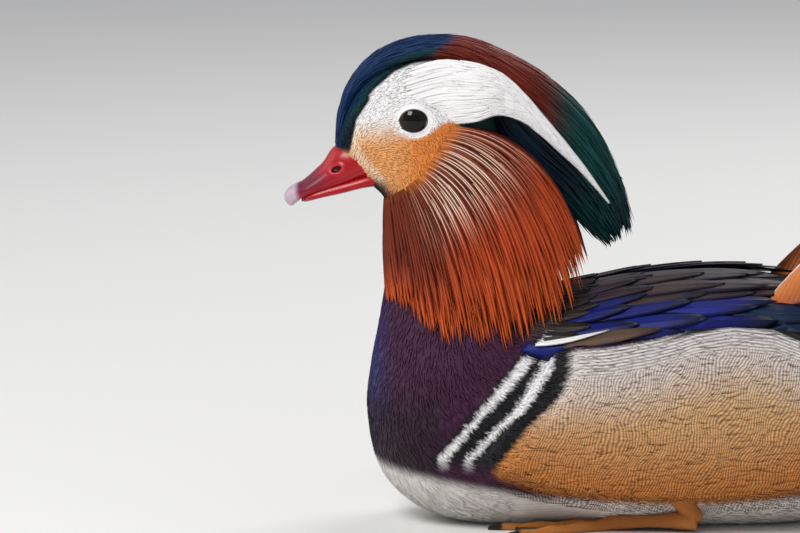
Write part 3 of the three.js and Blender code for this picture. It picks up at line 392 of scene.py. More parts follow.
def body_colour(x, y, z):
    """Purple breast with a painted blue sheen at its front, two white bars edged black, buff flanks, dark
    back, white belly.
    """
    # Painted sheen: blue over the breast's front, where its gloss would show.
    colour = blend(BREAST + 0 * z[..., None], BREAST_PAINTED_SHEEN, 0.75 * step(-97, -108, x) * step(30, 60, z))
    colour = blend(colour, BLACK, 0.6 * step(64, 44, z) * step(-74, -86, x))
    colour = blend(colour, RUST * 0.6, 0.9 * step(84, 98, z) * step(-58, -70, x) * step(-98, -90, x))
    colour = blend(colour, BACK, step(-66, -44, x) * step(75, 84, z))
    colour = blend(colour, RUMP, step(70, 110, x))
    colour = blend(colour, BELLY, step(27, 21, z + 0.16 * np.minimum(x + 100, 60)) * step(160, 120, x))
    colour = blend(colour, BELLY, step(62, 92, x) * step(62, 50, z + 0.1 * (x - 90)))
    one, two = x - lookup(BAR_ONE, z), x - lookup(BAR_TWO, z)
    panel = x - lookup(FLANK_TINT_FRONT, z)
    sides = step(24, 32, z) * step(82, 78, z) * step(14, 24, np.abs(y))
    colour = blend(colour, BLACK, sides * step(-5.2, -3.8, one) * step(1.0, 0.0, panel))
    wide = 1 - 0.3 * step(62, 44, z)
    white = step(2.9, 2.3, np.abs(one) / wide) + step(2.5, 1.9, np.abs(two) / wide) * step(78, 76.5, z)
    colour = blend(colour, WHITE, sides * white.clip(0, 1))
    _, rear, low, high = flank_place(x, z)
    flank = blend(FLANK_BUFF + 0 * z[..., None], FLANK_PALE, step(36, 3, high))
    flank = blend(flank, FLANK_DEEP, step(42, 4, low))
    inside = step(-0.8, 0.8, panel) * step(0, 8, rear) * step(-2, 3, low) * step(-0.4, 0.2, high)
    colour = blend(colour, flank, inside * step(20, 27, np.abs(y)))
    rim = step(-14, 4, x) * step(100, 80, x) * step(-5.5, -4.5, high) * step(0.4, -0.2, high)
    colour = blend(colour, BLACK, rim * step(20, 26, np.abs(y)))
    return blend(colour, VENT, step(104, 122, x + 0.5 * (z - 40)) * step(66, 60, z))


def plumage(p):
    """The colour of any point of skin or coat: the head's markings above the neck, the body's below."""
    x, y, z = np.moveaxis(p, -1, 0)
    neck = step(106, 122, z - 0.3 * (x + 100))
    return blend(body_colour(x, y, z), head_colour(x, z), neck)


def add_mesh(name, points, faces, tint, flat_uv, bake_uv, material, nodes):
    """A smooth mesh from points in millimetres, with a tint at each point, two UV maps, and each
    point's height under the flank's upper rim. It rides on the root."""
    points[:, 2] = np.maximum(points[:, 2], 0)
    mesh = bpy.data.meshes.new(name)
    sizes = np.concatenate([np.full(len(block), block.shape[1]) for block in faces])
    loops = np.concatenate([block.ravel() for block in faces]).astype(np.int32)
    mesh.vertices.add(len(points))
    mesh.vertices.foreach_set("co", (points * MM).astype(np.float32).ravel())
    mesh.loops.add(len(loops))
    mesh.loops.foreach_set("vertex_index", loops)
    mesh.polygons.add(len(sizes))
    mesh.polygons.foreach_set("loop_start", np.r_[0, np.cumsum(sizes)[:-1]].astype(np.int32))
    mesh.update(calc_edges=True)
    mesh.validate()
    mesh.polygons.foreach_set("use_smooth", np.ones(len(mesh.polygons), bool))
    colour = mesh.color_attributes.new("tint", "FLOAT_COLOR", "POINT")
    shown = np.c_[np.clip(tint, 0, 1), np.ones(len(points))]
    colour.data.foreach_set("color", shown.astype(np.float32).ravel())
    for layer, values in (("OFBake", bake_uv), ("Lie", flat_uv)):
        uv = mesh.uv_layers.new(name=layer)
        uv.data.foreach_set("uv", values[loops].astype(np.float32).ravel())
    rim = mesh.attributes.new("rim", "FLOAT", "POINT")
    rim.data.foreach_set("value", flank_place(points[:, 0], points[:, 2])[3].astype(np.float32))
    mesh.uv_layers.active = mesh.uv_layers["OFBake"]
    mesh.materials.append(material)
    piece = bpy.data.objects.new(name, mesh)
    bpy.context.collection.objects.link(piece)
    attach(piece, "root")
    if nodes:
        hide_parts(*nodes)
    return piece


def grid_faces(rows, columns, wrap=False):
    """Quads between neighbouring rows and columns of a grid, wrapped round the columns if asked."""
    i, j = np.meshgrid(np.arange(rows - 1), np.arange(columns if wrap else columns - 1), indexing="ij")
    k = (j + 1) % columns
    return np.stack([i * columns + j, (i + 1) * columns + j, (i + 1) * columns + k, i * columns + k],
                    -1).reshape(-1, 4)


def swept(points, faces):
    """Six times the volume between faces and their middle: over zero where they face outward."""
    corners = points[faces] - points[faces].mean((0, 1))
    size = (np.cross(corners[:, 0], corners[:, 1]) * corners[:, 2]).sum()
    if faces.shape[1] == 4:
        size += (np.cross(corners[:, 0], corners[:, 2]) * corners[:, 3]).sum()
    return size


def facing_out(points, blocks):
    """Blocks of faces of one closed surface, all reversed where the first of them faces inward."""
    return blocks if swept(points, blocks[0]) > 0 else [block[:, ::-1] for block in blocks]


def add_grid(name, points, tint, material, nodes=(), wrap=True, poles=True):
    """A grid of points as a closed sleeve, with a point at the middle of each end where it has poles."""
    rows, columns = points.shape[:2]
    flat = points.reshape(-1, 3)
    colours = np.broadcast_to(tint, points.shape).reshape(-1, 3)
    faces = grid_faces(rows, columns, wrap)
    grid = np.stack(np.meshgrid(np.linspace(0, 1, rows), np.linspace(0, 1, columns), indexing="ij"),
                    -1).reshape(-1, 2)
    blocks = [faces]
    if poles:
        ends = np.stack([points[0].mean(0), points[-1].mean(0)])
        j = np.arange(columns)
        k = (j + 1) % columns
        last = (rows - 1) * columns
        base = np.full(columns, rows * columns)
        blocks.append(np.concatenate([np.c_[base, j, k], np.c_[base + 1, last + k, last + j]]))
        flat = np.concatenate([flat, ends])
        colours = np.concatenate([colours, colours[[0, -1]]])
        grid = np.concatenate([grid, [[0, 0.5], [1, 0.5]]])
    return add_mesh(name, flat, facing_out(flat, blocks), colours, grid * 100, bake_place(*grid.T),
                    material, list(nodes))


# Feather sections: each point's place across and height, as shares of the half width and the thickness.
STRAND = np.array([(-1, 0), (0, 1), (1, 0)], float)
HACKLE = np.array([(-1, 0), (-0.2, 0.8), (0, 1), (0.2, 0.8), (1, 0)], float)
VANE = np.array([(-1, 0), (-0.55, 0.7), (-0.12, 0.8), (0, 1.3), (0.12, 0.8), (0.55, 0.7), (1, 0),
                 (0, -0.3)], float)


def pointed(s, sharp=0.75):
    """Half width along a pointed feather: widest before the middle and nothing at its tip."""
    return np.clip(np.sin(PI * np.clip(0.2 + 0.8 * s, 0, 1)), 0, 1) ** sharp


def blunt(s):
    """Half width along a round-tipped feather: broad almost to the end."""
    return (0.55 + 0.45 * np.sin(PI * np.clip(s * 0.8 + 0.1, 0, 1))) * np.sqrt(np.clip(1 - s ** 5, 0, 1))


def bake_place(across, along):
    """A place on the bake map for each feather or point, drawn in a little from the map's edge."""
    return np.stack([across, along], -1) * 0.98 + 0.01


def feathers(path, normal, half, thick, section, root_uv, cup=0.0):
    """Closed feathers along paths: each station is a section across the path and out along the normal."""
    count, stations = path.shape[:2]
    ahead = unit(np.gradient(path, axis=1))
    across = unit(np.cross(ahead, normal))
    out = np.cross(across, ahead)
    wide = section[:, 0] * half[..., None]
    high = section[:, 1] * np.asarray(thick)[..., None] - cup * section[:, 0] ** 2 * half[..., None]
    points = path[:, :, None] + across[:, :, None] * wide[..., None] + out[:, :, None] * high[..., None]
    around = len(section)
    block = grid_faces(stations, around, True)
    offset = np.arange(count)[:, None, None] * stations * around
    root = np.arange(around)[None] + np.zeros((1, 1), int)
    caps = np.concatenate([root + offset[:, :, 0],
                           root[:, ::-1] + (stations - 1) * around + offset[:, :, 0]])
    length = np.linalg.norm(np.diff(path, axis=1), axis=-1).sum(1)
    share = np.linspace(0, 1, stations)
    lie = np.stack(np.broadcast_arrays(wide, (length[:, None] * share)[..., None]), -1)
    bake = root_uv[:, None, None] + BAKE_PATCH * np.stack(
        np.broadcast_arrays(section[:, 0], (share * 2 - 1)[:, None]), -1)
    sides = (block[None] + offset).reshape(-1, 4)
    return points, [sides[:, ::-1], caps[:, ::-1]], lie.reshape(-1, 2), bake.reshape(-1, 2)


def add_feathers(name, made, tint, material, nodes=()):
    """One joined mesh of feathers, tinted by an array of one colour for each point."""
    points, faces, lie, bake = made
    return add_mesh(name, points.reshape(-1, 3), faces, tint.reshape(-1, 3), lie, bake, material,
                    list(nodes))


def follow(surface, start, end, across, drift, lift, stations):
    """Paths on a surface from start to end, with its outward normal at each station, worked out
    from small steps along and across."""
    s = np.linspace(0, 1, stations)
    a = start[:, None] + (end - start)[:, None] * s
    b = across[:, None] + drift[:, None] * s ** 1.5
    rise = lift[0][:, None] + (lift[1] - lift[0])[:, None] * s
    h = 0.01
    path = surface(a, b, rise)
    da = surface(a + h, b, rise) - surface(a - h, b, rise)
    db = surface(a, b + h, rise) - surface(a, b - h, rise)
    normal = unit(np.cross(da, db))
    outward = surface(a, b, rise + 0.5) - path
    return path, normal * np.sign((normal * outward).sum(-1, keepdims=True)), s


def scatter(rng, count, accept, rings=(0.0, float(LAST_RING))):
    """Places spread evenly over the body's surface where accept(u, v, point) is true."""
    u = np.linspace(*rings, 240)
    v = np.linspace(-PI, PI, 160)
    uu, vv = np.meshgrid(u, v, indexing="ij")
    p = ring_point(uu, vv)
    area = np.linalg.norm(np.cross(np.gradient(p, axis=0), np.gradient(p, axis=1)), axis=-1)
    area = area * accept(uu, vv, p)
    pick = rng.choice(area.size, count, p=(area / area.sum()).ravel())
    uu = uu.ravel()[pick] + rng.uniform(-0.5, 0.5, count) * (u[1] - u[0])
    vv = vv.ravel()[pick] + rng.uniform(-0.5, 0.5, count) * (v[1] - v[0])
    return np.clip(uu, 0.02, LAST_RING - 0.4), vv


def body_feathers(rng, u, v, length, half, lift, stations, shape, cup=0.05, thick=0.12):
    """Feathers that lie back along the body from places (u, v), each of its own length and half width."""
    reach = np.linalg.norm(ring_point(u + 0.05, v) - ring_point(u - 0.05, v), axis=-1) / 0.1
    end = np.minimum(u + length / np.maximum(reach, 2), LAST_RING - 0.05)
    drift = rng.normal(0, 0.02, len(u))
    path, normal, s = follow(body_point, u, end, v, drift, lift, stations)
    width = half[:, None] * shape(s)
    root = bake_place(u / LAST_RING, (v + PI) / (2 * PI))
    return feathers(path, normal, width, thick * width + 0.04, STRAND, root, cup)


def uneven(rng, count, amount):
    """A brightness for each feather, each a little lighter or darker than the next."""
    return np.clip(1 + rng.normal(0, amount, count), 0.4, 1.6)[:, None, None, None]


def new_group(name, inputs, outputs):
    """An empty shader node group with named sockets."""
    group = bpy.data.node_groups.new(name, "ShaderNodeTree")
    for label, kind, value in inputs:
        socket = group.interface.new_socket(name=label, in_out="INPUT", socket_type=kind)
        socket.default_value = value
    for label, kind in outputs:
        group.interface.new_socket(name=label, in_out="OUTPUT", socket_type=kind)
    return group, group.nodes.new("NodeGroupInput"), group.nodes.new("NodeGroupOutput")


def math_node(tree, operation, first, second=None, third=None):
    """A Math node fed by sockets or numbers, and its result."""
    node = tree.nodes.new("ShaderNodeMath")
    node.operation = operation
    for i, value in enumerate((first, second, third)):
        if value is None:
            continue
        if isinstance(value, (int, float)):
            node.inputs[i].default_value = value
        else:
            tree.links.new(value, node.inputs[i])
    return node.outputs[0]


def noise_node(tree, coords, scale, detail):
    """Noise on Object coordinates, swinging about 0."""
    noise = tree.nodes.new("ShaderNodeTexNoise")
    noise.inputs["Scale"].default_value = scale
    noise.inputs["Detail"].default_value = detail
    tree.links.new(coords.outputs["Object"], noise.inputs["Vector"])
    return math_node(tree, "SUBTRACT", noise.outputs[0], 0.5)


def sine_node(tree, place, spacing):
    """A sine along a place, with one turn for each spacing."""
    turns = math_node(tree, "DIVIDE", place, spacing)
    return math_node(tree, "SINE", math_node(tree, "MULTIPLY", turns, 2 * PI))


def fade_node(tree, source, low, high):
    """A smooth change from 0 where the source is at low to 1 where it is at high."""
    fade = tree.nodes.new("ShaderNodeMapRange")
    fade.interpolation_type = "SMOOTHSTEP"
    fade.inputs["From Min"].default_value = min(low, high)
    fade.inputs["From Max"].default_value = max(low, high)
    fade.inputs["To Min"].default_value = float(low > high)
    fade.inputs["To Max"].default_value = float(high > low)
    tree.links.new(source, fade.inputs["Value"])
    return fade.outputs[0]


def barb_group():
    """Barbs: a sine of the place along the shaft less a slant for each side, and slow mottling."""
    group, given, result = new_group(
        "barbs",
        [("Spacing", "NodeSocketFloat", 0.5), ("Slant", "NodeSocketFloat", 1.0),
         ("Mottle", "NodeSocketFloat", 0.2)],
        [("Shade", "NodeSocketFloat"), ("Height", "NodeSocketFloat")])
    lie = group.nodes.new("ShaderNodeUVMap")
    lie.uv_map = "Lie"
    split = group.nodes.new("ShaderNodeSeparateXYZ")
    group.links.new(lie.outputs[0], split.inputs[0])
    side = math_node(group, "ABSOLUTE", split.outputs[0])
    place = math_node(group, "SUBTRACT", split.outputs[1],
                      math_node(group, "MULTIPLY", side, given.outputs["Slant"]))
    wave = sine_node(group, place, given.outputs["Spacing"])
    coords = group.nodes.new("ShaderNodeTexCoord")
    mottle = math_node(group, "MULTIPLY", noise_node(group, coords, 260, 3), given.outputs["Mottle"])
    shade = math_node(group, "ADD", math_node(group, "MULTIPLY_ADD", wave, 0.07, 1.0), mottle)
    group.links.new(shade, result.inputs["Shade"])
    group.links.new(wave, result.inputs["Height"])
    return group


def wave_group():
    """Vermiculation: the upper part of a sine of the place, bent by noise, for thin dark lines that
    follow the flank's upper rim and lower down cross the flank. Rim is the black edge at its rear."""
    group, given, result = new_group(
        "vermiculation",
        [("Spacing", "NodeSocketFloat", 1.15), ("Wander", "NodeSocketFloat", 7.0)],
        [("Line", "NodeSocketFloat"), ("Rim", "NodeSocketFloat")])
    coords = group.nodes.new("ShaderNodeTexCoord")
    split = group.nodes.new("ShaderNodeSeparateXYZ")
    group.links.new(coords.outputs["Object"], split.inputs[0])
    x = math_node(group, "MULTIPLY", split.outputs[0], 1 / MM)
    z = math_node(group, "MULTIPLY", split.outputs[2], 1 / MM)
    bends = []
    for scale, share in ((75, 1.0), (310, 0.16)):
        bends.append(math_node(group, "MULTIPLY", noise_node(group, coords, scale, 0),
                               math_node(group, "MULTIPLY", given.outputs["Wander"], share)))
    bend = math_node(group, "ADD", *bends)
    rim = group.nodes.new("ShaderNodeAttribute")
    rim.attribute_name = "rim"
    across = math_node(group, "MULTIPLY_ADD", z, -0.34, math_node(group, "MULTIPLY", x, 0.94))
    lines = []
    for place, share in ((across, 1.0), (rim.outputs["Fac"], 0.12)):
        bent = math_node(group, "MULTIPLY_ADD", bend, share, place)
        wave = sine_node(group, bent, given.outputs["Spacing"])
        lines.append(math_node(group, "MULTIPLY_ADD", wave, 0.5, 0.42))
    near = fade_node(group, rim.outputs["Fac"], 7, 13)
    mix = group.nodes.new("ShaderNodeMix")
    group.links.new(near, mix.inputs["Factor"])
    group.links.new(lines[1], mix.inputs["A"])
    group.links.new(lines[0], mix.inputs["B"])
    line = math_node(group, "SMOOTH_MAX", mix.outputs[0], 0.0, 0.15)
    group.links.new(line, result.inputs["Line"])
    fades = [fade_node(group, rim.outputs["Fac"], 2.6, 2.0), fade_node(group, x, 2.0, 22.0),
             fade_node(group, x, 104.0, 92.0)]
    edge = math_node(group, "MULTIPLY", math_node(group, "MULTIPLY", fades[0], fades[1]), fades[2])
    group.links.new(edge, result.inputs["Rim"])
    return group


def tinted_material(name, roughness, spacing=0.5, slant=1.0, mottle=0.25, bump=0.25, lines=0.0,
                    **numbers):
    """Plumage or skin coloured by the tint attribute and bumped by barbs, with waves if asked."""
    material = bpy.data.materials.new(name)
    material.use_nodes = True
    tree = material.node_tree
    shader = tree.nodes["Principled BSDF"]
    tint = tree.nodes.new("ShaderNodeAttribute")
    tint.attribute_name = "tint"
    barbs = tree.nodes.new("ShaderNodeGroup")
    barbs.node_tree = bpy.data.node_groups.get("barbs") or barb_group()
    for label, value in (("Spacing", spacing), ("Slant", slant), ("Mottle", mottle)):
        barbs.inputs[label].default_value = value
    shade = barbs.outputs["Shade"]
    if lines:
        waves = tree.nodes.new("ShaderNodeGroup")
        waves.node_tree = bpy.data.node_groups.get("vermiculation") or wave_group()
        for mask, share in ((waves.outputs["Line"], lines), (waves.outputs["Rim"], 0.96)):
            light = math_node(tree, "SUBTRACT", 1.0, math_node(tree, "MULTIPLY", mask, share))
            shade = math_node(tree, "MULTIPLY", shade, light)
    scale = tree.nodes.new("ShaderNodeVectorMath")
    scale.operation = "SCALE"
    tree.links.new(tint.outputs["Color"], scale.inputs[0])
    tree.links.new(shade, scale.inputs["Scale"])
    tree.links.new(scale.outputs[0], shader.inputs["Base Color"])
    height = tree.nodes.new("ShaderNodeBump")
    height.inputs["Strength"].default_value = bump
    height.inputs["Distance"].default_value = 0.0001
    tree.links.new(barbs.outputs["Height"], height.inputs["Height"])
    tree.links.new(height.outputs[0], shader.inputs["Normal"])
    shader.inputs["Roughness"].default_value = roughness
    for label, value in numbers.items():
        shader.inputs[label.replace("_", " ")].default_value = value
    return material


def build_skin():
    """One closed skin for head, neck and torso: the body's rings, marked like the coat and darker as
    painted shade.
    """
    u = np.concatenate([np.linspace(0, 12, 190, endpoint=False), np.linspace(12, 20, 90, endpoint=False),
                        np.linspace(20, LAST_RING, 90)])
    v = np.linspace(-PI, PI, 176, endpoint=False)
    uu, vv = np.meshgrid(u, v, indexing="ij")
    p = body_point(uu, vv, -SKIN_DEPTH)
    eye = np.linalg.norm(p[..., [0, 2]] - [EYE[0], EYE[2]], axis=-1)
    p[..., 1] -= np.sign(p[..., 1]) * SOCKET_DEPTH * step(5.2, 2.5, eye) * (np.abs(p[..., 1]) > 10)
    material = tinted_material("skin_down", 0.85, spacing=0.8, mottle=0.35, bump=0.2)
    # Painted shade: the skin is the coat's colour a tenth darker, for the shade under the feathers.
    add_grid("skin", p, plumage(p) * 0.9, material, ("head", "neck", "torso"))


def matte(name, **changes):
    """Soft plumage: rough, with low specular and fine barbs."""
    numbers = dict(spacing=0.45, mottle=0.3, bump=0.15, Specular_IOR_Level=0.2)
    return tinted_material(name, 0.7, **{**numbers, **changes})


def face_coat(rng, coat):
    """Very short close feathers over face, crown and throat, split down the middle into two pieces."""
    silky = matte("head_plumage")
    for side, name in SIDES:
        def on_face(u, v, p, side=side):
            near_eye = np.hypot((p[..., 0] - EYE[0]) / EYE_STRETCH, p[..., 2] - EYE[2]) < 6.0
            behind_ruff = (p[..., 0] + 102.4) * 0.76 - (p[..., 2] - 129) * 0.65 > 4
            covered = (behind_ruff & (np.abs(p[..., 1]) > 7)) | (near_eye & (np.abs(p[..., 1]) > 10))
            return (p[..., 1] * side > -0.2) & (u < 15) & ~covered

        count = coat.face_feathers
        u, v = scatter(rng, count, on_face, (0.1, 15.0))
        length = rng.uniform(0.63, 1, count) * coat.face_length / MM + 4 * step(8, 15, u)
        lift = (np.full(count, -0.35), rng.uniform(0.05, 0.18, count))
        made = body_feathers(rng, u, v, length, length * 0.16, lift, 3, pointed)
        tint = plumage(made[0]) * uneven(rng, count, 0.035)
        add_feathers("coat_face_" + name, made, tint, silky)


def breast_coat(rng, coat):
    """Fine silky feathers on breast, shoulders and bars, split down the middle into two pieces."""
    glossy = tinted_material("breast_plumage", 0.5, spacing=0.5, mottle=0.22, bump=0.15,
                             Specular_IOR_Level=0.28)
    for side, name in SIDES:
        def on_breast(u, v, p, side=side):
            panel = (p[..., 0] - lookup(FLANK_TINT_FRONT,
                                        p[..., 2]) > 4) & (np.abs(p[..., 1]) > FLANK_INNER)
            return (p[..., 1] * side > -0.2) & (u > 12.5) & (p[..., 0] < -14) & ~panel

        count = coat.breast_feathers
        u, v = scatter(rng, count, on_breast, (12.5, 22.5))
        length = rng.uniform(0.69, 1, count) * coat.breast_length / MM
        lift = (np.full(count, -0.6), rng.uniform(0.03, 0.16, count))
        half = rng.uniform(0.5, 0.8, count)
        made = body_feathers(rng, u, v, length, half, lift, 4, pointed, 0.05, 0.08)
        tint = plumage(made[0]) * uneven(rng, count, 0.07)
        add_feathers("coat_breast_" + name, made, tint, glossy)


def body_coat(rng, coat):
    """Soft feathers on back, rump, belly and vent."""
    def on_body(u, v, p):
        front, rear, low, high = flank_place(p[..., 0], p[..., 2])
        panel = (front > 3) & (rear > 6) & (low > 4) & (high > 2) & (np.abs(p[..., 1]) > FLANK_INNER)
        wing = (u > 20) & (u < 24.4) & (np.abs(v) < 0.9) & (np.abs(v) > 0.2)
        return (p[..., 0] > -20) & (u > 13) & ~panel & ~wing & (p[..., 2] > 1.5)

    count = coat.body_feathers
    u, v = scatter(rng, count, on_body, (13.0, 28.5))
    length = rng.uniform(0.7, 1, count) * coat.body_length / MM
    lift = (np.full(count, -0.6), rng.uniform(0.02, 0.22, count))
    made = body_feathers(rng, u, v, length, length * 0.16, lift, 5, blunt, 0.1, 0.05)
    tint = plumage(made[0]) * uneven(rng, count, 0.05)
    add_feathers("coat_body", made, tint, matte("body_plumage"))


def flank_coat(rng, coat):
    """The flank panels: long soft overlapping feathers that lie smooth, crossed by fine dark waves."""
    material = matte("flank_plumage", spacing=0.6, mottle=0.12, bump=0.1, lines=0.62)
    for side, name in SIDES:
        def on_panel(u, v, p, side=side):
            _, rear, low, high = flank_place(p[..., 0], p[..., 2])
            panel = p[..., 0] - lookup(FLANK_TINT_FRONT, p[..., 2])
            inside = (panel > -0.3) & (rear > 4) & (low > -4) & (high > 0.5)
            return inside & (v * side > 0.6) & (v * side < 2.7) & (p[..., 1] * side > FLANK_INNER)

        count = coat.flank_feathers
        u, v = scatter(rng, count, on_panel, (18.0, 26.5))
        length = rng.uniform(0.64, 1, count) * coat.flank_length / MM
        lift = (np.full(count, -0.35), rng.uniform(0.02, 0.12, count))
        made = body_feathers(rng, u, v, length, length * 0.15, lift, 5, blunt, 0.06, 0.03)
        tint = body_colour(*np.moveaxis(made[0], -1, 0)) * uneven(rng, count, 0.03)
        add_feathers("coat_flank_" + name, made, tint, material, ["flank_" + name])


def crest_coat(rng, coat):
    """The crown and hanging crest: silky strands, short at the forehead, long and loose behind."""
    material = tinted_material("crest_plumage", 0.45, spacing=0.5, mottle=0.5, bump=0.2,
                               Specular_IOR_Level=0.22)
    t = np.linspace(0, CREST_CORE_END, 90)
    angle = np.linspace(-PI, PI, 72, endpoint=False)
    tt, aa = np.meshgrid(t, angle, indexing="ij")
    core = crest_point(tt, aa, -1.2 - 3 * step(7, CREST_CORE_END, tt))
    # Painted shade: the core under the strands is the crest's colour three tenths darker.
    add_grid("crest_core", core, plumage_crest(core, aa) * 0.7, material)
    count = coat.crest_strands
    start = 11.6 * rng.uniform(0, 1, count) ** 0.75
    across = rng.uniform(-PI, PI, count)
    end = start + 1.2 + 1.7 * step(3, 8, start) + rng.uniform(-0.3, 0.6, count)
    ragged = rng.uniform(0, 1, count)
    locks = 0.32 * np.sin(7 * across) + 0.22 * np.sin(19 * across + 1)
    end = np.minimum(end, CREST_END - 0.5 + 1.3 * locks * step(8, 12, end) - 2.0 * ragged ** 1.7)
    end = np.clip(end, start + 0.4, CREST_END)
    loose = step(8, 12, end)
    lift = (np.full(count, -1.2),
            rng.uniform(-0.5, 0.15, count) + 2.0 * loose * rng.uniform(-1, 1, count) ** 3)
    drift = rng.normal(0, 0.05, count) + 0.14 * loose * rng.normal(0, 1, count)
    path, normal, s = follow(crest_point, start, end, across, drift, lift, 8)
    half = ((0.5 + 0.35 * step(2, 7, start)) * rng.uniform(0.7, 1.2, count))[:, None] * pointed(s)
    root = bake_place(start / (CREST_END + 1), (across + PI) / (2 * PI))
    made = feathers(path, normal, half, 0.25 * half + 0.05, STRAND, root, 0.1)
    tint = plumage_crest(made[0], across[:, None, None] + 0 * made[0][..., 0])
    add_feathers("coat_crest", made, tint * uneven(rng, count, 0.16), material, ["crest"])


def plumage_crest(p, angle):
    """The crest's colours: the crown's above, dark green and navy on its underside."""
    x, _, z = np.moveaxis(p, -1, 0)
    under = np.maximum(step(0.5, 0.6, np.abs(angle) / PI),
                       step(0.8, -1.2, z - lookup(BROW_FOOT, x)) * step(-20, -26, x))
    under = under * step(-76, -66, x)
    navy = blend(CREST_NAVY + 0 * z[..., None], CREST_GREEN, 0.8 * step(140, 118, z))
    return blend(crown_colour(x, z), navy, under)


def brow_coat(rng, coat):
    """The white brow plumes: fine white strands from behind the eye to a long drooping point."""
    material = matte("brow_plumage", mottle=0.06, bump=0.08, Sheen_Weight=0.2)
    for side, name in SIDES:
        count = coat.brow_strands
        start = rng.uniform(0.1, 6.8, count)
        across = rng.uniform(-0.98, 0.98, count)
        end = np.minimum(start + rng.uniform(0.9, 1.8, count), 8 - 0.5 * rng.uniform(0, 1, count) ** 2)
        front = step(1.6, 0.2, start)
        lift = (-0.25 - 0.5 * front, rng.uniform(0.1, 0.3, count) - 0.3 * front)

        def surface(t, a, rise, side=side):
            return brow_point(side, t, a, rise)

        path, normal, s = follow(surface, start, end, across, np.zeros(count), lift, 6)
        half = (0.65 * (1 - 0.45 * step(3, 8, start)))[:, None] * pointed(s)
        root = bake_place(start / 9, across / 2 + 0.5)
        made = feathers(path, normal, half, 0.1 * half + 0.04, STRAND, root, 0.05)
        tint = np.broadcast_to(WHITE, made[0].shape) * uneven(rng, count, 0.02)
        add_feathers("coat_brow_" + name, made, tint, material, ["brow_" + name])


def ruff_coat(rng, coat):
    """The ruff: a chestnut under layer, darker in depth as painted shade, and over it ordered rows of
    pale-shafted hackles.
    """
    material = matte("ruff_plumage", slant=0.5, mottle=0.3, bump=0.25)
    for side, name in SIDES:
        def layer(start, end, fan, lift, drift, half, depth, section, stations, side=side):
            def surface(t, share, rise):
                fan_share = np.clip(share, 0, 1)
                return ruff_point(side, np.clip(t, 0, 1.02), fan_share, rise, depth[:, None])
            path, normal, s = follow(surface, start, end, fan, drift, lift, stations)
            wide = half[:, None] * pointed(s, 0.8)
            root = bake_place(np.clip(start, 0, 1), fan)
            made = feathers(path, normal, wide, 0.32 * wide + 0.06, section, root, 0.12)
            t = (start[:, None] + (end - start)[:, None] * s)[..., None] + 0 * made[0][..., 0]
            return made, t, fan[:, None, None] + 0 * t

        count = coat.ruff_fill
        fan = rng.uniform(0, 1, count)
        deep = rng.uniform(0, 1, count)
        start = np.maximum(rng.uniform(-0.05, 0.55, count), 0.01)
        end = np.minimum(start + rng.uniform(0.35, 0.6, count),
                         1.01 - 0.16 * rng.uniform(0, 1, count) ** 2)
        lift = (-1.2 - 0.5 * deep, 0.6 * (1 - deep))
        half = (0.6 + 0.5 * step(0.0, 0.4, start)) * rng.uniform(0.8, 1.2, count)
        made, t, share = layer(start, end, fan, lift, rng.normal(0, 0.015, count), half,
                               0.35 * deep * step(0.35, 1, fan) + 0.06 * deep, STRAND, 7)
        tint = ruff_colour(t, share, np.zeros(3)) * uneven(rng, count, 0.14)
        # Painted shade: the deeper a hackle lies, the darker it is, by up to four tenths.
        tint = tint * (1 - 0.4 * deep)[:, None, None, None]
        add_feathers("coat_ruff_under_" + name, made, tint, material, ["ruff_" + name])

        for label, times, tiers, wide, rise, pale in RUFF_LAYERS:
            number = times * coat.ruff_hackles
            order = np.arange(number)[None] + 0.25 + 0.5 * (np.arange(tiers) % 2)[:, None]
            fan = np.clip((order / number).ravel() + rng.normal(0, 0.2 / number, order.size), 0.01, 0.995)
            start = np.repeat(np.linspace(0.01, 0.5, tiers), number)
            start = np.maximum(start + rng.normal(0, 0.025, fan.size), 0.005)
            reach = rng.uniform(0.5, 0.62, fan.size)
            end = np.minimum(start + reach, 1.0 - 0.2 * rng.uniform(0, 1, fan.size) ** 1.6)
            lift = (np.full(fan.size, -0.6), rng.uniform(0.3, 1.0, fan.size) * rise)
            half = coat.hackle_width / MM / 2 * wide * (0.62 + 0.38 * step(0.0, 0.35, start))
            half = half * rng.uniform(0.85, 1.15, fan.size)
            drift = rng.normal(0, 0.008, fan.size)
            made, t, share = layer(start, end, fan, lift, drift, half, np.zeros(fan.size), HACKLE, 12)
            tint = ruff_colour(t, share, SHAFT_SHARE, pale) * uneven(rng, fan.size, 0.09)
            add_feathers("coat_ruff_" + label + name, made, tint, material)


def ruff_colour(t, fan, ridge, pale=0.0):
    """A hackle's colours: sides of chestnut and painted shade, a shaft near white by the cheek and orange
    beyond.
    """
    # The sides' colour: the hackle's chestnut, darkened as painted shade between the hackles.
    dark = blend(srgb(104, 32, 14) + 0 * t[..., None], srgb(158, 54, 20), step(0.25, 0.75, t))
    dark = blend(dark, ORANGE_CHEEK * 0.85, step(0.1, 0.0, t))
    dark = blend(dark, srgb(200, 86, 34), step(0.78, 1.0, t))
    throat = step(0.5, 0.24, fan)
    dark = blend(dark, srgb(84, 28, 14), 0.85 * throat * step(0.95, 0.6, t))
    orange = blend(srgb(194, 82, 34) + 0 * t[..., None], srgb(216, 106, 46), step(0.5, 0.9, t))
    orange = blend(orange, srgb(150, 58, 24), throat * step(0.9, 0.5, t))
    white = pale * step(0.62, 0.3, t) * step(0.02, 0.09, t)
    white = white * (1 - 0.5 * step(0.78, 0.95, fan)) * (1 - throat)
    shaft = blend(orange, srgb(255, 232, 204), white)
    shown = ridge * step(0.01, 0.1, fan) * (0.7 + 0.3 * white)
    return blend(dark, shaft, shown)


# How far each feather of a row falls short of the next or passes it, as a share of its length.
ENDS = np.array([0.0, 0.07, -0.06, 0.04, -0.03])


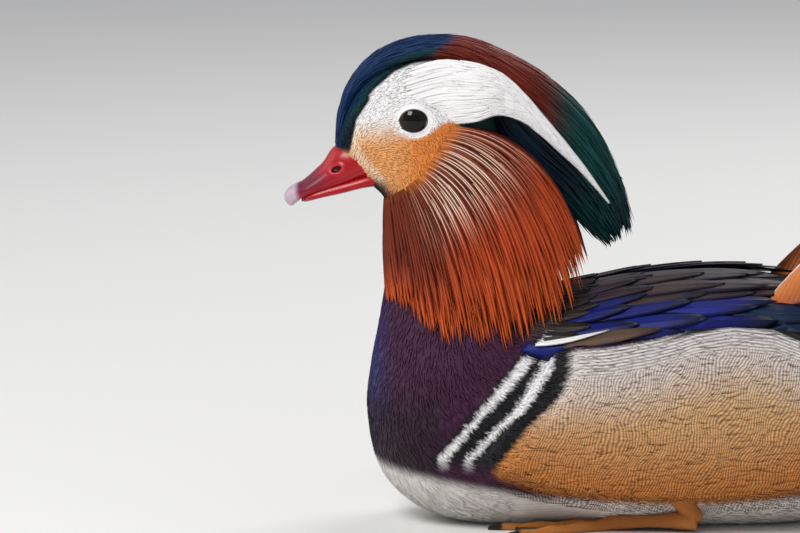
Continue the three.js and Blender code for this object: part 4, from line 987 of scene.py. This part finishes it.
class Vanes:
    """Sets of large feathers draped on a surface, gathered into one joined mesh."""

    def __init__(self, side=None):
        self.parts, self.tints, self.count, self.side = [], [], 0, side

    def add(self, surface, start, end, across, half, lift, tint, thick=0.45, shape=blunt, stations=18,
            drift=0.0):
        """Feathers from start to end along a surface. A section's points are places across the surface,
        with the width turned into the surface's own units, at the lift of their station."""
        across = np.atleast_1d(np.asarray(across, float))
        count = len(across)
        given = (np.broadcast_to(np.asarray(value, float), count)[:, None]
                 for value in (start, end, half, drift, lift[0], lift[1]))
        start, end, half, drift, low, high = given
        stagger = ENDS[np.arange(count) % len(ENDS)][:, None]
        s = np.linspace(0, 1, stations)[None]
        a = start + (end + stagger * (end - start) - start) * s
        b = across[:, None] + 0.25 * stagger + drift * s
        rise = low + (high - low) * s ** 0.7
        h = 0.01
        metric = np.linalg.norm(surface(a, b + h, rise) - surface(a, b - h, rise), axis=-1) / (2 * h)
        wide = (half * shape(s))[..., None] * VANE[:, 0]
        level = thick * VANE[:, 1] + np.zeros_like(wide)
        points = surface(a[..., None] + 0 * wide, b[..., None] + wide / metric[..., None],
                         rise[..., None] + level)
        around = len(VANE)
        offset = sum(len(part[0]) for part in self.parts)
        each = np.arange(count)[:, None, None] * stations * around + offset
        sides = (grid_faces(stations, around, True)[None] + each).reshape(-1, 4)
        root = np.arange(around)[None] + each[:, :, 0]
        caps = np.concatenate([root, root[:, ::-1] + (stations - 1) * around])
        length = np.linalg.norm(np.diff(surface(a, b, rise), axis=1), axis=-1).sum(1)
        lie = np.stack(np.broadcast_arrays(wide, (length[:, None] * s)[..., None]), -1).reshape(-1, 2)
        place = np.arange(self.count, self.count + count) * 0.0137
        home = np.stack([place % 1, np.floor(place) * 0.1 + 0.05], -1)
        if self.side:
            home = bake_place(start[:, 0] / LAST_RING, 0.5 + self.side * across / (2 * PI))
        home = home[:, None, None]
        patch = np.stack(np.broadcast_arrays(VANE[:, 0], (s[0] * 2 - 1)[:, None]), -1)
        bake = (home + BAKE_PATCH * patch).reshape(-1, 2)
        self.parts.append((points.reshape(-1, 3), [sides, caps], lie, bake))
        colour = tint(s[..., None] + 0 * wide, VANE[:, 0] + 0 * wide,
                      np.arange(count)[:, None, None] + 0 * wide)
        self.tints.append(colour.reshape(-1, 3))
        self.count += count

    def build(self, name, material, nodes):
        """The joined mesh, each feather turned so that its faces point outward."""
        points, faces, lie, bake = (list(part) for part in zip(*self.parts))
        joined = np.concatenate(points)
        blocks = [block for group in faces for block in facing_out(joined, group)]
        return add_mesh(name, joined, blocks, np.concatenate(self.tints), np.concatenate(lie),
                        np.concatenate(bake), material, list(nodes))


def edged(rng, base, edge, tip, width=0.3, spread=0.1):
    """A tint for vanes: a base colour, a paler or darker margin, a tip colour and a dark shaft."""
    def tint(s, across, index):
        shade = 1 + rng.normal(0, spread, 64)[index.astype(int) % 64]
        margin = step(1 - width, 1, np.abs(across))
        colour = blend(base + 0 * s[..., None], edge, margin)
        colour = blend(colour, tip, step(0.72, 0.98, s + 0.12 * across ** 2))
        colour = blend(colour, BLACK, 0.5 * step(0.1, 0.02, np.abs(across)))
        return colour * shade[..., None]
    return tint


# The wing's tiers: first and last ring, angles from, to and how many, half width, lift of the roots, lift
# of the tips from, to and how many, tint, and how far the feathers turn on their way.
WING_TIERS = [
    (22.3, 24.9, (0.84, 0.68, 4), 5.6, -3, (0.3, 1.0, 4), "teal", -0.05),
    (21.3, 23.8, (0.84, 0.64, 4), 5.8, -2.4, (0.5, 1.3, 4), "teal", -0.05),
    (20.5, 22.8, (0.86, 0.6, 4), 6.4, -2.2, (0.6, 1.5, 4), "bright", -0.07),
    (19.8, 21.9, (0.92, 0.54, 4), 6.2, -2, (0.6, 1.5, 4), "blue", -0.08),
    (19.0, 21.0, (0.98, 0.56, 4), 5.8, -1.8, (0.6, 1.4, 4), "blue", -0.08),
    (18.7, 20.2, (0.86, 0.54, 4), 4.4, -1.8, (0.4, 1.0, 4), "olive", 0.0),
]
# The scapulars' tiers: first and last ring, angles, half width, lift of roots and of tips, tint, outline.
SCAPULAR_TIERS = [
    (21.0, 23.1, [0.42, 0.32, 0.21], 7, -1.5, [1.4, 2.6, 2.2], "shade", pointed),
    (20.4, 22.6, [0.46, 0.37, 0.27, 0.17], 7.4, -1.5, [1.6, 2.8, 3, 2.4], "purple", blunt),
    (19.6, 22.0, [0.49, 0.38, 0.27, 0.17], 7, -1.5, [1.4, 2.4, 2.6, 2], "shade", blunt),
    (18.8, 21.0, [0.49, 0.4, 0.31, 0.22, 0.14], 6.4, -1.5, [1.2, 2, 2.2, 2, 1.6], "purple", blunt),
    (18.2, 20.0, [0.5, 0.42, 0.34, 0.26, 0.18, 0.1], 5.6, -1.2, 1.2, "shade", blunt),
]
# How far the wing's lower feathers tuck in where the flank's rim lies over them.
WING_TUCK = 4.5


def wing_coat(rng, colours):
    """Wing and scapulars: tiers of long vanes, royal blue below the seam, purple brown above it."""
    glossy = tinted_material("wing_plumage", 0.4, spacing=0.55, mottle=0.3, bump=0.25,
                             Specular_IOR_Level=0.2)
    tints = {}
    tints["blue"] = edged(rng, np.array(colours.wing), srgb(10, 16, 66), srgb(8, 14, 44), 0.35)
    tints["bright"] = edged(rng, srgb(18, 30, 116), srgb(10, 16, 70), srgb(8, 14, 44), 0.4, 0.2)
    tints["teal"] = edged(rng, srgb(16, 40, 70), srgb(20, 26, 44), BLACK, 0.3)
    tints["olive"] = edged(rng, srgb(40, 34, 32), srgb(62, 54, 44), srgb(28, 24, 26), 0.2)
    brown = edged(rng, srgb(92, 70, 54), srgb(120, 96, 78), srgb(60, 44, 40), 0.3)
    tints["purple"] = edged(rng, SCAPULAR, srgb(24, 30, 78), srgb(30, 22, 32), 0.5, 0.2)
    tints["shade"] = edged(rng, srgb(56, 40, 34), srgb(20, 26, 62), srgb(26, 20, 26), 0.45, 0.2)
    white = edged(rng, WHITE, WHITE, WHITE * 0.8, 0.2, 0.02)
    for side, name in SIDES:
        def surface(u, angle, rise, side=side):
            thick = pad_row(u)[..., 2]
            p = body_point(u, side * angle, thick + rise, False)
            high = flank_place(p[..., 0], p[..., 2])[3]
            return body_point(u, side * angle, thick + rise - WING_TUCK * step(-1.2, 1.4, high), False)

        wing = Vanes(side)
        for first, last, angles, half, low, high, tint, drift in WING_TIERS:
            wing.add(surface, first, last, np.linspace(*angles), half, (low, np.linspace(*high)),
                     tints[tint], drift=drift)
        wing.add(surface, 19.3, 20.7, 0.97, 1.6, (0.4, 2.0), white, drift=-0.14, shape=pointed)
        wing.add(surface, 19.9, 21.5, 0.93, 3.4, (-0.5, 1.9), brown, drift=-0.1)
        wing.build("coat_wing_" + name, glossy, ["wing_" + name])

        upper = Vanes(side)
        for first, last, angles, half, low, high, tint, shape in SCAPULAR_TIERS:
            upper.add(surface, first, last, angles, half, (low, high), tints[tint], shape=shape)
        upper.build("coat_scapulars_" + name, glossy, ["scapulars_" + name])


def bent_line(a, b, c, t):
    """A quadratic curve from a to c, pulled towards b."""
    t = np.asarray(t)[..., None]
    return (1 - t) ** 2 * np.array(a) + 2 * t * (1 - t) * np.array(b) + t * t * np.array(c)


SAIL_SHAFT = ((45.0, 30.0, 86.0), (93.0, 26.0, 98.0), (132.0, 17.0, 103.0))
SAIL_ROWS = [(0, 4, 3), (0.1, 17, 8), (0.25, 34, 16), (0.42, 46, 22), (0.6, 48, 23), (0.76, 39, 17),
             (0.9, 22, 9), (1, 5, 3)]
sail_row = smooth_table(SAIL_ROWS)
# The tail's coverts above and below: height at the front and at the rear, colour, and which way they face.
TAIL_COVERTS = [(71, 66, srgb(44, 46, 40), 1.0), (52, 61, VENT, -1.0)]
PRIMARY_PATH = ((70.0, 32.0, 88.5), (128.0, 21.0, 88.5), (180.0, 5.0, 82.5))


def sail_coat(colours):
    """The sails: an upright vane each, as tall and swept as sail_row says along the shaft, ribbed by
    its barbs, orange with a white front edge and a blue-black tip."""
    orange = np.array(colours.sail)
    material = tinted_material("sail_plumage", 0.5, spacing=0.8, slant=0.6, mottle=0.25, bump=0.5,
                               Sheen_Weight=0.1)
    for side, name in SIDES:
        t, h = np.meshgrid(np.linspace(0, 1, 240), np.linspace(0, 1, 36), indexing="ij")
        shaft = bent_line(*SAIL_SHAFT, t)
        tall, back = np.moveaxis(sail_row(t), -1, 0)
        ribs = np.sin(t * 260 - 5 * h)
        barbs = 0.12 * ribs * np.minimum(h * 8, 1)
        lean = 0.12 * tall * h + 4 * h * h + barbs
        thick = 0.45 * (1 - h) ** 1.5 + 0.15
        outer = np.stack([shaft[..., 0] + back * h, side * (shaft[..., 1] - lean + thick),
                          shaft[..., 2] + tall * h], -1)
        inner = outer.copy()
        inner[..., 1] -= side * 2 * thick
        colour = blend(orange + 0 * t[..., None], srgb(224, 134, 66),
                       step(0.2, 0.8, h) * step(0.8, 0.3, t))
        colour = blend(colour, orange * 0.7, 0.7 * step(0.35, 0.05, h))
        colour = colour * (1 + 0.06 * ribs)[..., None]
        colour = blend(colour, WHITE, step(0.93, 0.97, h) * step(0.7, 0.55, t))
        colour = blend(colour, BLACK, step(0.95, 0.985, h) * step(0.55, 0.7, t))
        colour = blend(colour, WING_BLUE * 0.4, step(0.84, 0.93, t + 0.07 * h))
        colour = blend(colour, srgb(30, 28, 44), step(0.07, 0.03, h))
        grid = np.concatenate([outer, inner[:, ::-1]], 1)
        tint = np.concatenate([colour, colour[:, ::-1]], 1)
        add_grid("sail_vane_" + name, grid, tint, material, ["sail_" + name])


def quill_coat(rng):
    """Primaries and tail: a folded stack of stiff vanes on each side, and a fan under coverts."""
    material = tinted_material("quill_plumage", 0.4, spacing=0.6, mottle=0.2, bump=0.4,
                               Specular_IOR_Level=0.6)
    silver = edged(rng, srgb(58, 50, 52), srgb(170, 164, 158), srgb(18, 46, 52), 0.22)
    for side, name in SIDES:
        def blade(t, out, rise, side=side):
            p = bent_line(*PRIMARY_PATH, t)
            return np.stack([p[..., 0], side * (p[..., 1] + out), p[..., 2] + rise - 0.03 * out ** 2], -1)

        stack = Vanes()
        up = np.linspace(0, 3.0, 8)
        stack.add(blade, 0.0, 1 - np.linspace(0, 0.5, 8), np.linspace(-1.5, 6.5, 8), 5.8, (up - 0.4, up),
                  silver, stations=22, thick=0.35)
        stack.build("coat_primaries_" + name, material, ["primaries_" + name])

    tail = Vanes()
    dark = edged(rng, srgb(50, 42, 36), srgb(64, 56, 48), srgb(26, 44, 40))
    for turn in sorted(np.linspace(-0.38, 0.38, 14), key=abs, reverse=True):
        def ray(reach, out, rise, turn=turn):
            flat = [150 + reach * np.cos(turn) - out * np.sin(turn),
                    reach * np.sin(turn) + out * np.cos(turn)]
            return np.stack([*flat, 61 + reach * 0.13 + rise - 7 * abs(turn)], -1)
        tail.add(ray, 0.0, 70 * (1 - 0.8 * turn ** 2), 0.0, 5.8, (0.0, 0.0), dark, thick=0.35)
    for height, rise, base, up in TAIL_COVERTS:
        covert = edged(rng, base, base * 1.2, base * 0.7)
        for row in range(3):
            def cover(x, y, lift, height=height, rise=rise, up=up):
                z = height + (rise - height) * (x - 140) / 46 - up * 0.022 * y ** 2
                return np.stack([x, y * (1.1 - 0.002 * (x - 140)), z + up * lift], -1)
            y = np.linspace(-15, 15, 7 - row)
            tail.add(cover, 140 + 5.0 * row, 166 + 9.0 * row - 0.03 * y ** 2, y, 5.0,
                     (-1.0, 0.6 - 0.3 * row), covert)
    tail.build("coat_tail", material, ["tail"])


def bill_ring(rows, count, rings):
    """The bill through a smooth table of rings: arched above, flat below, and widest low down."""
    t, v = np.meshgrid(np.linspace(rows[0][0], rows[-1][0], rings),
                       np.linspace(0, 2 * PI, count, endpoint=False), indexing="ij")
    top_x, top_z, low_x, low_z, half = np.moveaxis(smooth_table(rows)(t), -1, 0)
    widest = 0.28
    rise = np.cos(v)
    height = widest + np.where(rise > 0, 1 - widest, widest) * np.sign(rise) * np.abs(rise) ** 0.9
    across = np.sign(np.sin(v)) * np.abs(np.sin(v)) ** 0.85
    return t, v, np.stack([low_x + (top_x - low_x) * height, half * across,
                           low_z + (top_z - low_z) * height], -1)


def build_bill(colours):
    """Upper bill with nostrils and nail, and lower bill: smooth rings, dented at the nostrils."""
    red = np.array(colours.bill)
    material = tinted_material("bill_horn", 0.28, spacing=3.0, mottle=0.5, bump=0.04,
                               Specular_IOR_Level=0.4)
    t, v, p = bill_ring(UPPER_BILL_ROWS, 96, 160)
    dx, dz = p[..., 0] - NOSTRIL[0], p[..., 2] - NOSTRIL[1]
    cos, sin = math.cos(0.4), math.sin(0.4)
    oval = np.sqrt(((dx * cos + dz * sin) / 2.1) ** 2 + ((-dx * sin + dz * cos) / 1.15) ** 2)
    sides = np.abs(p[..., 1]) > 2.5
    dent = (1.6 * step(1.1, 0.6, oval) - 0.35 * step(2.0, 1.5, oval) * step(1.0, 1.4, oval)) * sides
    p[..., 1] -= np.sign(p[..., 1]) * dent
    p[..., 1] -= np.sign(p[..., 1]) * 0.3 * np.exp(-((np.cos(v) + 0.12) / 0.1) ** 2) * step(6, 5, t)
    colour = blend(red + 0 * t[..., None], srgb(98, 18, 48),
                   0.9 * step(1.4, 4.4, t) * step(-0.5, 0.6, np.cos(v)))
    colour = blend(colour, BLACK, 0.9 * step(0.35, 0.1, t))
    colour = blend(colour, srgb(206, 60, 74), 0.5 * step(1.9, 1.3, oval) * step(0.9, 1.4, oval) * sides)
    colour = blend(colour, srgb(50, 6, 10), step(1.05, 0.7, oval) * sides)
    colour = blend(colour, np.array(colours.nail), step(5.6, 6.7, t - 0.6 * np.abs(np.sin(v)) + 0.4))
    add_grid("bill_upper_horn", p, colour, material, ["bill_upper", "bill_nail"])
    t, v, p = bill_ring(LOWER_BILL_ROWS, 64, 60)
    colour = blend(red * 1.05 + 0 * t[..., None], DARK_BILL, step(-0.2, -0.8, np.cos(v)))
    colour = blend(colour, srgb(150, 70, 80), step(3.6, 4.6, t))
    add_grid("bill_lower_horn", p, colour, material, ["bill_lower"])


def build_eyes(colours):
    """Dark glossy eyeballs, each with a black rim and pale feathered lids drawn to a corner in front."""
    glass = tinted_material("eye_cornea", 0.05, spacing=9, mottle=0.0, bump=0.0, Specular_IOR_Level=0.3)
    lid = tinted_material("lid_skin", 0.5, spacing=0.5, mottle=0.3, bump=0.3)
    centre = np.array(EYE)
    for side, name in SIDES:
        middle = centre * [1, side, 1]
        a, b = np.meshgrid(np.linspace(0.02, PI / 2, 40), np.linspace(0, 2 * PI, 64, endpoint=False),
                           indexing="ij")
        ball = np.stack([np.sin(a) * np.cos(b), side * np.cos(a), np.sin(a) * np.sin(b)], -1)
        pupil = step(0.42, 0.36, a)
        iris = blend(np.array(colours.iris) + 0 * a[..., None], srgb(3, 2, 3), pupil)
        add_grid("eyeball_" + name, middle + EYE_RADIUS * ball, iris, glass, ["eye_" + name])
        w, turn = np.meshgrid(np.linspace(0, 1, 14), np.linspace(0, 2 * PI, 96, endpoint=False),
                              indexing="ij")
        corner = 1 + 0.22 * np.exp(-((np.angle(np.exp(1j * (turn - PI - 0.35)))) / 0.35) ** 2)
        reach = (5.1 * corner) + 2.4 * w
        dx, dz = reach * np.cos(turn) * 1.04, reach * np.sin(turn) * (0.84 + 0.16 * w)
        skin = flesh_reach(centre[0] + dx, centre[2] + dz)
        far = np.minimum(dx ** 2 + dz ** 2, EYE_RADIUS ** 2 * 0.98)
        on_ball = EYE[1] + np.sqrt(EYE_RADIUS ** 2 - far) + 0.15
        bulge = 0.7 * np.sin(PI * np.clip(w * 1.2, 0, 1))
        y = on_ball * (1 - w) ** 2 + (skin - 0.1) * (1 - (1 - w) ** 2) + bulge * (1 - w)
        outer = np.stack([centre[0] + dx, side * y, centre[2] + dz], -1)
        inner = outer[::-1] - np.array([0, side * 0.9, 0])
        p = np.concatenate([outer, inner, outer[:1]])
        colour = head_colour(outer[..., 0], outer[..., 2])
        colour = blend(colour, srgb(12, 9, 9), step(0.22, 0.12, w))
        add_grid("lids_" + name, p, np.concatenate([colour, colour[::-1], colour[:1]]), lid,
                 poles=False)


def tube(points, radius, around=14):
    """A round limb along points: circles square to the path, kept above the floor."""
    ahead = unit(np.gradient(points, axis=0))
    across = unit(np.cross([0, 1.0, 0], ahead))
    other = np.cross(ahead, across)
    turn = np.linspace(0, 2 * PI, around, endpoint=False)[None, :, None]
    ring = across[:, None] * np.cos(turn) + other[:, None] * np.sin(turn)
    p = points[:, None] + radius[:, None, None] * ring
    p[..., 2] = np.maximum(p[..., 2], 0)
    return p


HEEL, KNUCKLE, TIBIA_TOP = (22.0, 38.0, 5.2), (-13.0, 33.0, 3.2), (8.0, 42.0, 24.0)
TOES = ((37.0, 0.42), (48.0, 0.02), (44.0, -0.4))


def build_feet(colours):
    """Legs, toes and webs: round scaly limbs laid forward along the floor under the belly."""
    orange, dark = np.array(colours.foot), np.array(colours.web)
    scaly = tinted_material("foot_scales", 0.5, spacing=1.1, slant=0.0, mottle=0.5, bump=0.6)
    for side, name in SIDES:
        flip = np.array([1, side, 1])
        knuckle, heel, top = (np.array(p) * flip for p in (KNUCKLE, HEEL, TIBIA_TOP))
        s = np.linspace(0, 1, 40)
        shin = knuckle + (heel - knuckle) * s[:, None]
        p = tube(shin, 2.5 + 0.5 * np.cos(s * 2 * PI) + 1.2 * s)
        add_grid("shank_" + name, p, orange * 0.9, scaly, ["leg_" + name])
        thigh = heel + (top - heel) * s[:, None]
        p = tube(thigh, 3.2 + 2.6 * s)
        add_grid("drumstick_" + name, p, orange * 0.9, scaly)
        tips = []
        for i, (length, turn) in enumerate(TOES):
            reach = np.array([-length * math.cos(turn), -side * length * math.sin(turn), 0])
            path = knuckle * [1, 1, 0] + reach * s[:, None]
            radius = (2.5 - 1.4 * s) * (1 + 0.09 * np.cos(s * 22)) * step(1.02, 0.97, s) + 0.1
            path[:, 2] = radius * 0.85
            colour = blend(orange, BLACK, step(0.86, 0.9, s))[:, None]
            add_grid(f"toe_{i}_{name}", tube(path, radius), colour, scaly, ["foot_" + name])
            tips.append(reach)
        for i in (0, 1):
            a, b = np.meshgrid(np.linspace(0.05, 0.8, 24), np.linspace(0, 1, 24), indexing="ij")
            edge = tips[i] * (1 - b[..., None]) + tips[i + 1] * b[..., None]
            flat = knuckle * [1, 1, 0] + a[..., None] * edge
            flat[..., 0] += a * 7 * 4 * b * (1 - b)
            upper, lower = flat.copy(), flat.copy()
            upper[..., 2] = 1.5 + 0.25 * np.cos(b * 6 * PI) * a
            lower[..., 2] = 0.3
            sheet = np.concatenate([upper, lower[:, ::-1]], 1)
            add_grid(f"web_{i}_{name}", sheet, dark, scaly)
        hind = knuckle * [1, 1, 0] + np.array([10, -9 * side, 0]) * s[:, None]
        hind[:, 2] = 2.2 - 1.2 * s
        add_grid("hind_toe_" + name, tube(hind, 1.7 - 1.2 * s), orange, scaly)


# The soft lamps: name, place and size in metres, power in watts. They point at LAMP_AIM.
LAMPS = [
    ("key", (-0.7, -1.0, 1.3), 0.7, 19), ("fill", (-1.4, 0.2, 0.7), 1.2, 6),
    ("rim", (0.6, 1.1, 1.2), 0.9, 11),
]
LAMP_AIM = (-0.04, 0, 0.09)
FLOOR_COLOUR = (0.78, 0.77, 0.74, 1)
SKY_COLOUR = (0.9, 0.92, 1.0, 1)


def build_stage(settings):
    """A plain pale floor, broad soft lights and the camera at the photograph's angle."""
    bpy.ops.mesh.primitive_plane_add(size=8)
    floor = bpy.context.object
    floor.name = "stage_floor"
    plain = bpy.data.materials.new("stage_pale")
    plain.use_nodes = True
    plain.node_tree.nodes["Principled BSDF"].inputs["Base Color"].default_value = FLOOR_COLOUR
    plain.node_tree.nodes["Principled BSDF"].inputs["Roughness"].default_value = 0.9
    floor.data.materials.append(plain)
    world = bpy.data.worlds.new("studio")
    world.use_nodes = True
    world.node_tree.nodes["Background"].inputs[0].default_value = SKY_COLOUR
    world.node_tree.nodes["Background"].inputs[1].default_value = settings.sky
    bpy.context.scene.world = world
    for name, place, size, power in LAMPS:
        lamp = bpy.data.lights.new(name, "AREA")
        lamp.energy, lamp.size = power * settings.light, size
        holder = bpy.data.objects.new(name, lamp)
        bpy.context.collection.objects.link(holder)
        holder.location = place
        aim = np.array(LAMP_AIM) - np.array(place)
        holder.rotation_euler = (math.atan2(math.hypot(aim[0], aim[1]), -aim[2]), 0,
                                 math.atan2(aim[1], aim[0]) - PI / 2)
    camera = bpy.data.objects.new("camera", bpy.data.cameras.new("camera"))
    bpy.context.collection.objects.link(camera)
    distance, tilt = settings.camera_distance, settings.camera_tilt
    camera.location = (settings.aim[0], -distance * math.cos(tilt),
                       settings.aim[2] + distance * math.sin(tilt))
    camera.rotation_euler = (PI / 2 - tilt, 0, 0)
    camera.data.sensor_width = 36
    camera.data.lens = 36 * distance / settings.view_width
    camera.data.clip_end = 50
    bpy.context.scene.camera = camera
    bpy.context.scene.view_settings.view_transform = "Standard"


class DrakeCoat(bpy.types.PropertyGroup):
    """How many feathers each part of the coat has, and how long they are."""

    face_feathers: IntProperty(name="Face feathers", description="On each side of the head", default=8600)
    face_length: FloatProperty(name="Face length", description="Longest face feather", default=0.0032,
                               unit="LENGTH")
    breast_feathers: IntProperty(name="Breast feathers", description="On each side of the breast",
                                 default=7200)
    breast_length: FloatProperty(name="Breast length", description="Longest breast feather",
                                 default=0.0065, unit="LENGTH")
    body_feathers: IntProperty(name="Body feathers", description="On back, rump and belly", default=6500)
    body_length: FloatProperty(name="Body length", description="Longest back feather", default=0.01,
                               unit="LENGTH")
    flank_feathers: IntProperty(name="Flank feathers", description="On each flank", default=4700)
    flank_length: FloatProperty(name="Flank length", description="Longest flank feather", default=0.011,
                                unit="LENGTH")
    crest_strands: IntProperty(name="Crest strands", description="In the crown and crest", default=3700)
    brow_strands: IntProperty(name="Brow strands", description="In each white plume", default=1500)
    ruff_fill: IntProperty(name="Ruff under layer", description="Hackles under each side of the ruff",
                           default=1200)
    ruff_hackles: IntProperty(name="Ruff hackles", description="Broad hackles in each row of the ruff",
                              default=32)
    hackle_width: FloatProperty(name="Hackle width", description="Of a broad hackle", default=0.0034,
                                unit="LENGTH")


def colour_setting(label, note, value):
    """A colour that the user can change, in linear light."""
    return FloatVectorProperty(name=label, description=note, default=tuple(value), subtype="COLOR", min=0,
                               max=1)


class DrakeColours(bpy.types.PropertyGroup):
    """Colours of the pieces that have one main colour."""

    bill: colour_setting("Bill", "Red of the bill", RED_BILL)
    nail: colour_setting("Nail", "Pale nail at the bill's tip", PINK_NAIL)
    iris: colour_setting("Iris", "Dark ring round the pupil", IRIS)
    wing: colour_setting("Wing", "Blue of the wing's feathers", WING_BLUE)
    sail: colour_setting("Sail", "Orange of the two upright sails", SAIL_ORANGE)
    foot: colour_setting("Foot", "Orange of legs and toes", FOOT_ORANGE)
    web: colour_setting("Web", "Dark skin between the toes", WEB_DARK)


class DrakeStage(bpy.types.PropertyGroup):
    """Light and camera."""

    sky: FloatProperty(name="Sky", description="Strength of the even light", default=0.4)
    light: FloatProperty(name="Light", description="Strength of the lamps", default=1.0)
    camera_distance: FloatProperty(name="Camera distance", description="From the aim point", default=3.6,
                                   unit="LENGTH")
    camera_tilt: FloatProperty(name="Camera tilt", description="Looking down", default=math.radians(8),
                               subtype="ANGLE")
    view_width: FloatProperty(name="View width", description="Width seen at the aim point", default=0.32,
                              unit="LENGTH")
    aim: FloatVectorProperty(name="Aim", description="Point at the middle of the view",
                             default=(-0.096, 0.0, 0.1014))


def seeded(number):
    """A source of random draws that gives the same draws on each run."""
    return np.random.default_rng(number)


class DRAKE_OT_skin(bpy.types.Operator):
    """Build the skin under the plumage"""
    bl_idname, bl_label = "drake.skin", "Skin"

    def execute(self, context):
        build_skin()
        return {"FINISHED"}


class DRAKE_OT_face(bpy.types.Operator):
    """Build the short feathers of head and throat"""
    bl_idname, bl_label = "drake.face", "Face"

    def execute(self, context):
        face_coat(seeded(1), context.scene.drake_coat)
        return {"FINISHED"}


class DRAKE_OT_breast(bpy.types.Operator):
    """Build the breast's silky feathers"""
    bl_idname, bl_label = "drake.breast", "Breast"

    def execute(self, context):
        breast_coat(seeded(2), context.scene.drake_coat)
        return {"FINISHED"}


class DRAKE_OT_body(bpy.types.Operator):
    """Build the feathers of back, belly and vent"""
    bl_idname, bl_label = "drake.body", "Body"

    def execute(self, context):
        body_coat(seeded(3), context.scene.drake_coat)
        return {"FINISHED"}


class DRAKE_OT_flank(bpy.types.Operator):
    """Build the waved flank panels"""
    bl_idname, bl_label = "drake.flank", "Flanks"

    def execute(self, context):
        flank_coat(seeded(4), context.scene.drake_coat)
        return {"FINISHED"}


class DRAKE_OT_crest(bpy.types.Operator):
    """Build the crown and the hanging crest"""
    bl_idname, bl_label = "drake.crest", "Crest"

    def execute(self, context):
        crest_coat(seeded(5), context.scene.drake_coat)
        return {"FINISHED"}


class DRAKE_OT_brow(bpy.types.Operator):
    """Build the white brow plumes"""
    bl_idname, bl_label = "drake.brow", "Brows"

    def execute(self, context):
        brow_coat(seeded(6), context.scene.drake_coat)
        return {"FINISHED"}


class DRAKE_OT_ruff(bpy.types.Operator):
    """Build the ruff of long hackles"""
    bl_idname, bl_label = "drake.ruff", "Ruff"

    def execute(self, context):
        ruff_coat(seeded(7), context.scene.drake_coat)
        return {"FINISHED"}


class DRAKE_OT_wing(bpy.types.Operator):
    """Build wings and scapulars"""
    bl_idname, bl_label = "drake.wing", "Wings"

    def execute(self, context):
        wing_coat(seeded(8), context.scene.drake_colours)
        return {"FINISHED"}


class DRAKE_OT_sail(bpy.types.Operator):
    """Build the two upright sails"""
    bl_idname, bl_label = "drake.sail", "Sails"

    def execute(self, context):
        sail_coat(context.scene.drake_colours)
        return {"FINISHED"}


class DRAKE_OT_quill(bpy.types.Operator):
    """Build the flight feathers and the tail"""
    bl_idname, bl_label = "drake.quill", "Quills"

    def execute(self, context):
        quill_coat(seeded(9))
        return {"FINISHED"}


class DRAKE_OT_bill(bpy.types.Operator):
    """Build the bill"""
    bl_idname, bl_label = "drake.bill", "Bill"

    def execute(self, context):
        build_bill(context.scene.drake_colours)
        return {"FINISHED"}


class DRAKE_OT_eyes(bpy.types.Operator):
    """Build the eyes and lids"""
    bl_idname, bl_label = "drake.eyes", "Eyes"

    def execute(self, context):
        build_eyes(context.scene.drake_colours)
        return {"FINISHED"}


class DRAKE_OT_feet(bpy.types.Operator):
    """Build the legs and webbed feet"""
    bl_idname, bl_label = "drake.feet", "Feet"

    def execute(self, context):
        build_feet(context.scene.drake_colours)
        return {"FINISHED"}


class DRAKE_OT_stage(bpy.types.Operator):
    """Build the floor, lights and camera"""
    bl_idname, bl_label = "drake.stage", "Stage"

    def execute(self, context):
        build_stage(context.scene.drake_stage)
        return {"FINISHED"}


class DRAKE_PT_panel(bpy.types.Panel):
    """The sizes and the pieces, in the 3D view's sidebar"""
    bl_idname, bl_label = "DRAKE_PT_panel", "Drake"
    bl_space_type, bl_region_type, bl_category = "VIEW_3D", "UI", "Drake"

    def draw(self, context):
        for group in (context.scene.drake_coat, context.scene.drake_colours, context.scene.drake_stage):
            for name in group.__annotations__:
                self.layout.prop(group, name)
        for operator in OPERATORS:
            self.layout.operator(operator.bl_idname)


OPERATORS = (DRAKE_OT_skin, DRAKE_OT_face, DRAKE_OT_breast, DRAKE_OT_body, DRAKE_OT_flank,
             DRAKE_OT_crest, DRAKE_OT_brow, DRAKE_OT_ruff, DRAKE_OT_wing, DRAKE_OT_sail,
             DRAKE_OT_quill, DRAKE_OT_bill, DRAKE_OT_eyes, DRAKE_OT_feet, DRAKE_OT_stage)
CLASSES = (DrakeCoat, DrakeColours, DrakeStage) + OPERATORS + (DRAKE_PT_panel,)


def register():
    """Registers the classes and the settings on the scene."""
    for cls in CLASSES:
        bpy.utils.register_class(cls)
    bpy.types.Scene.drake_coat = PointerProperty(type=DrakeCoat)
    bpy.types.Scene.drake_colours = PointerProperty(type=DrakeColours)
    bpy.types.Scene.drake_stage = PointerProperty(type=DrakeStage)


def unregister():
    """Removes what register added."""
    del bpy.types.Scene.drake_coat
    del bpy.types.Scene.drake_colours
    del bpy.types.Scene.drake_stage
    for cls in reversed(CLASSES):
        bpy.utils.unregister_class(cls)


def main():
    """Builds every piece."""
    register()
    for operator in OPERATORS:
        getattr(bpy.ops.drake, operator.bl_idname.split(".")[1])()


if __name__ == "__main__":
    main()
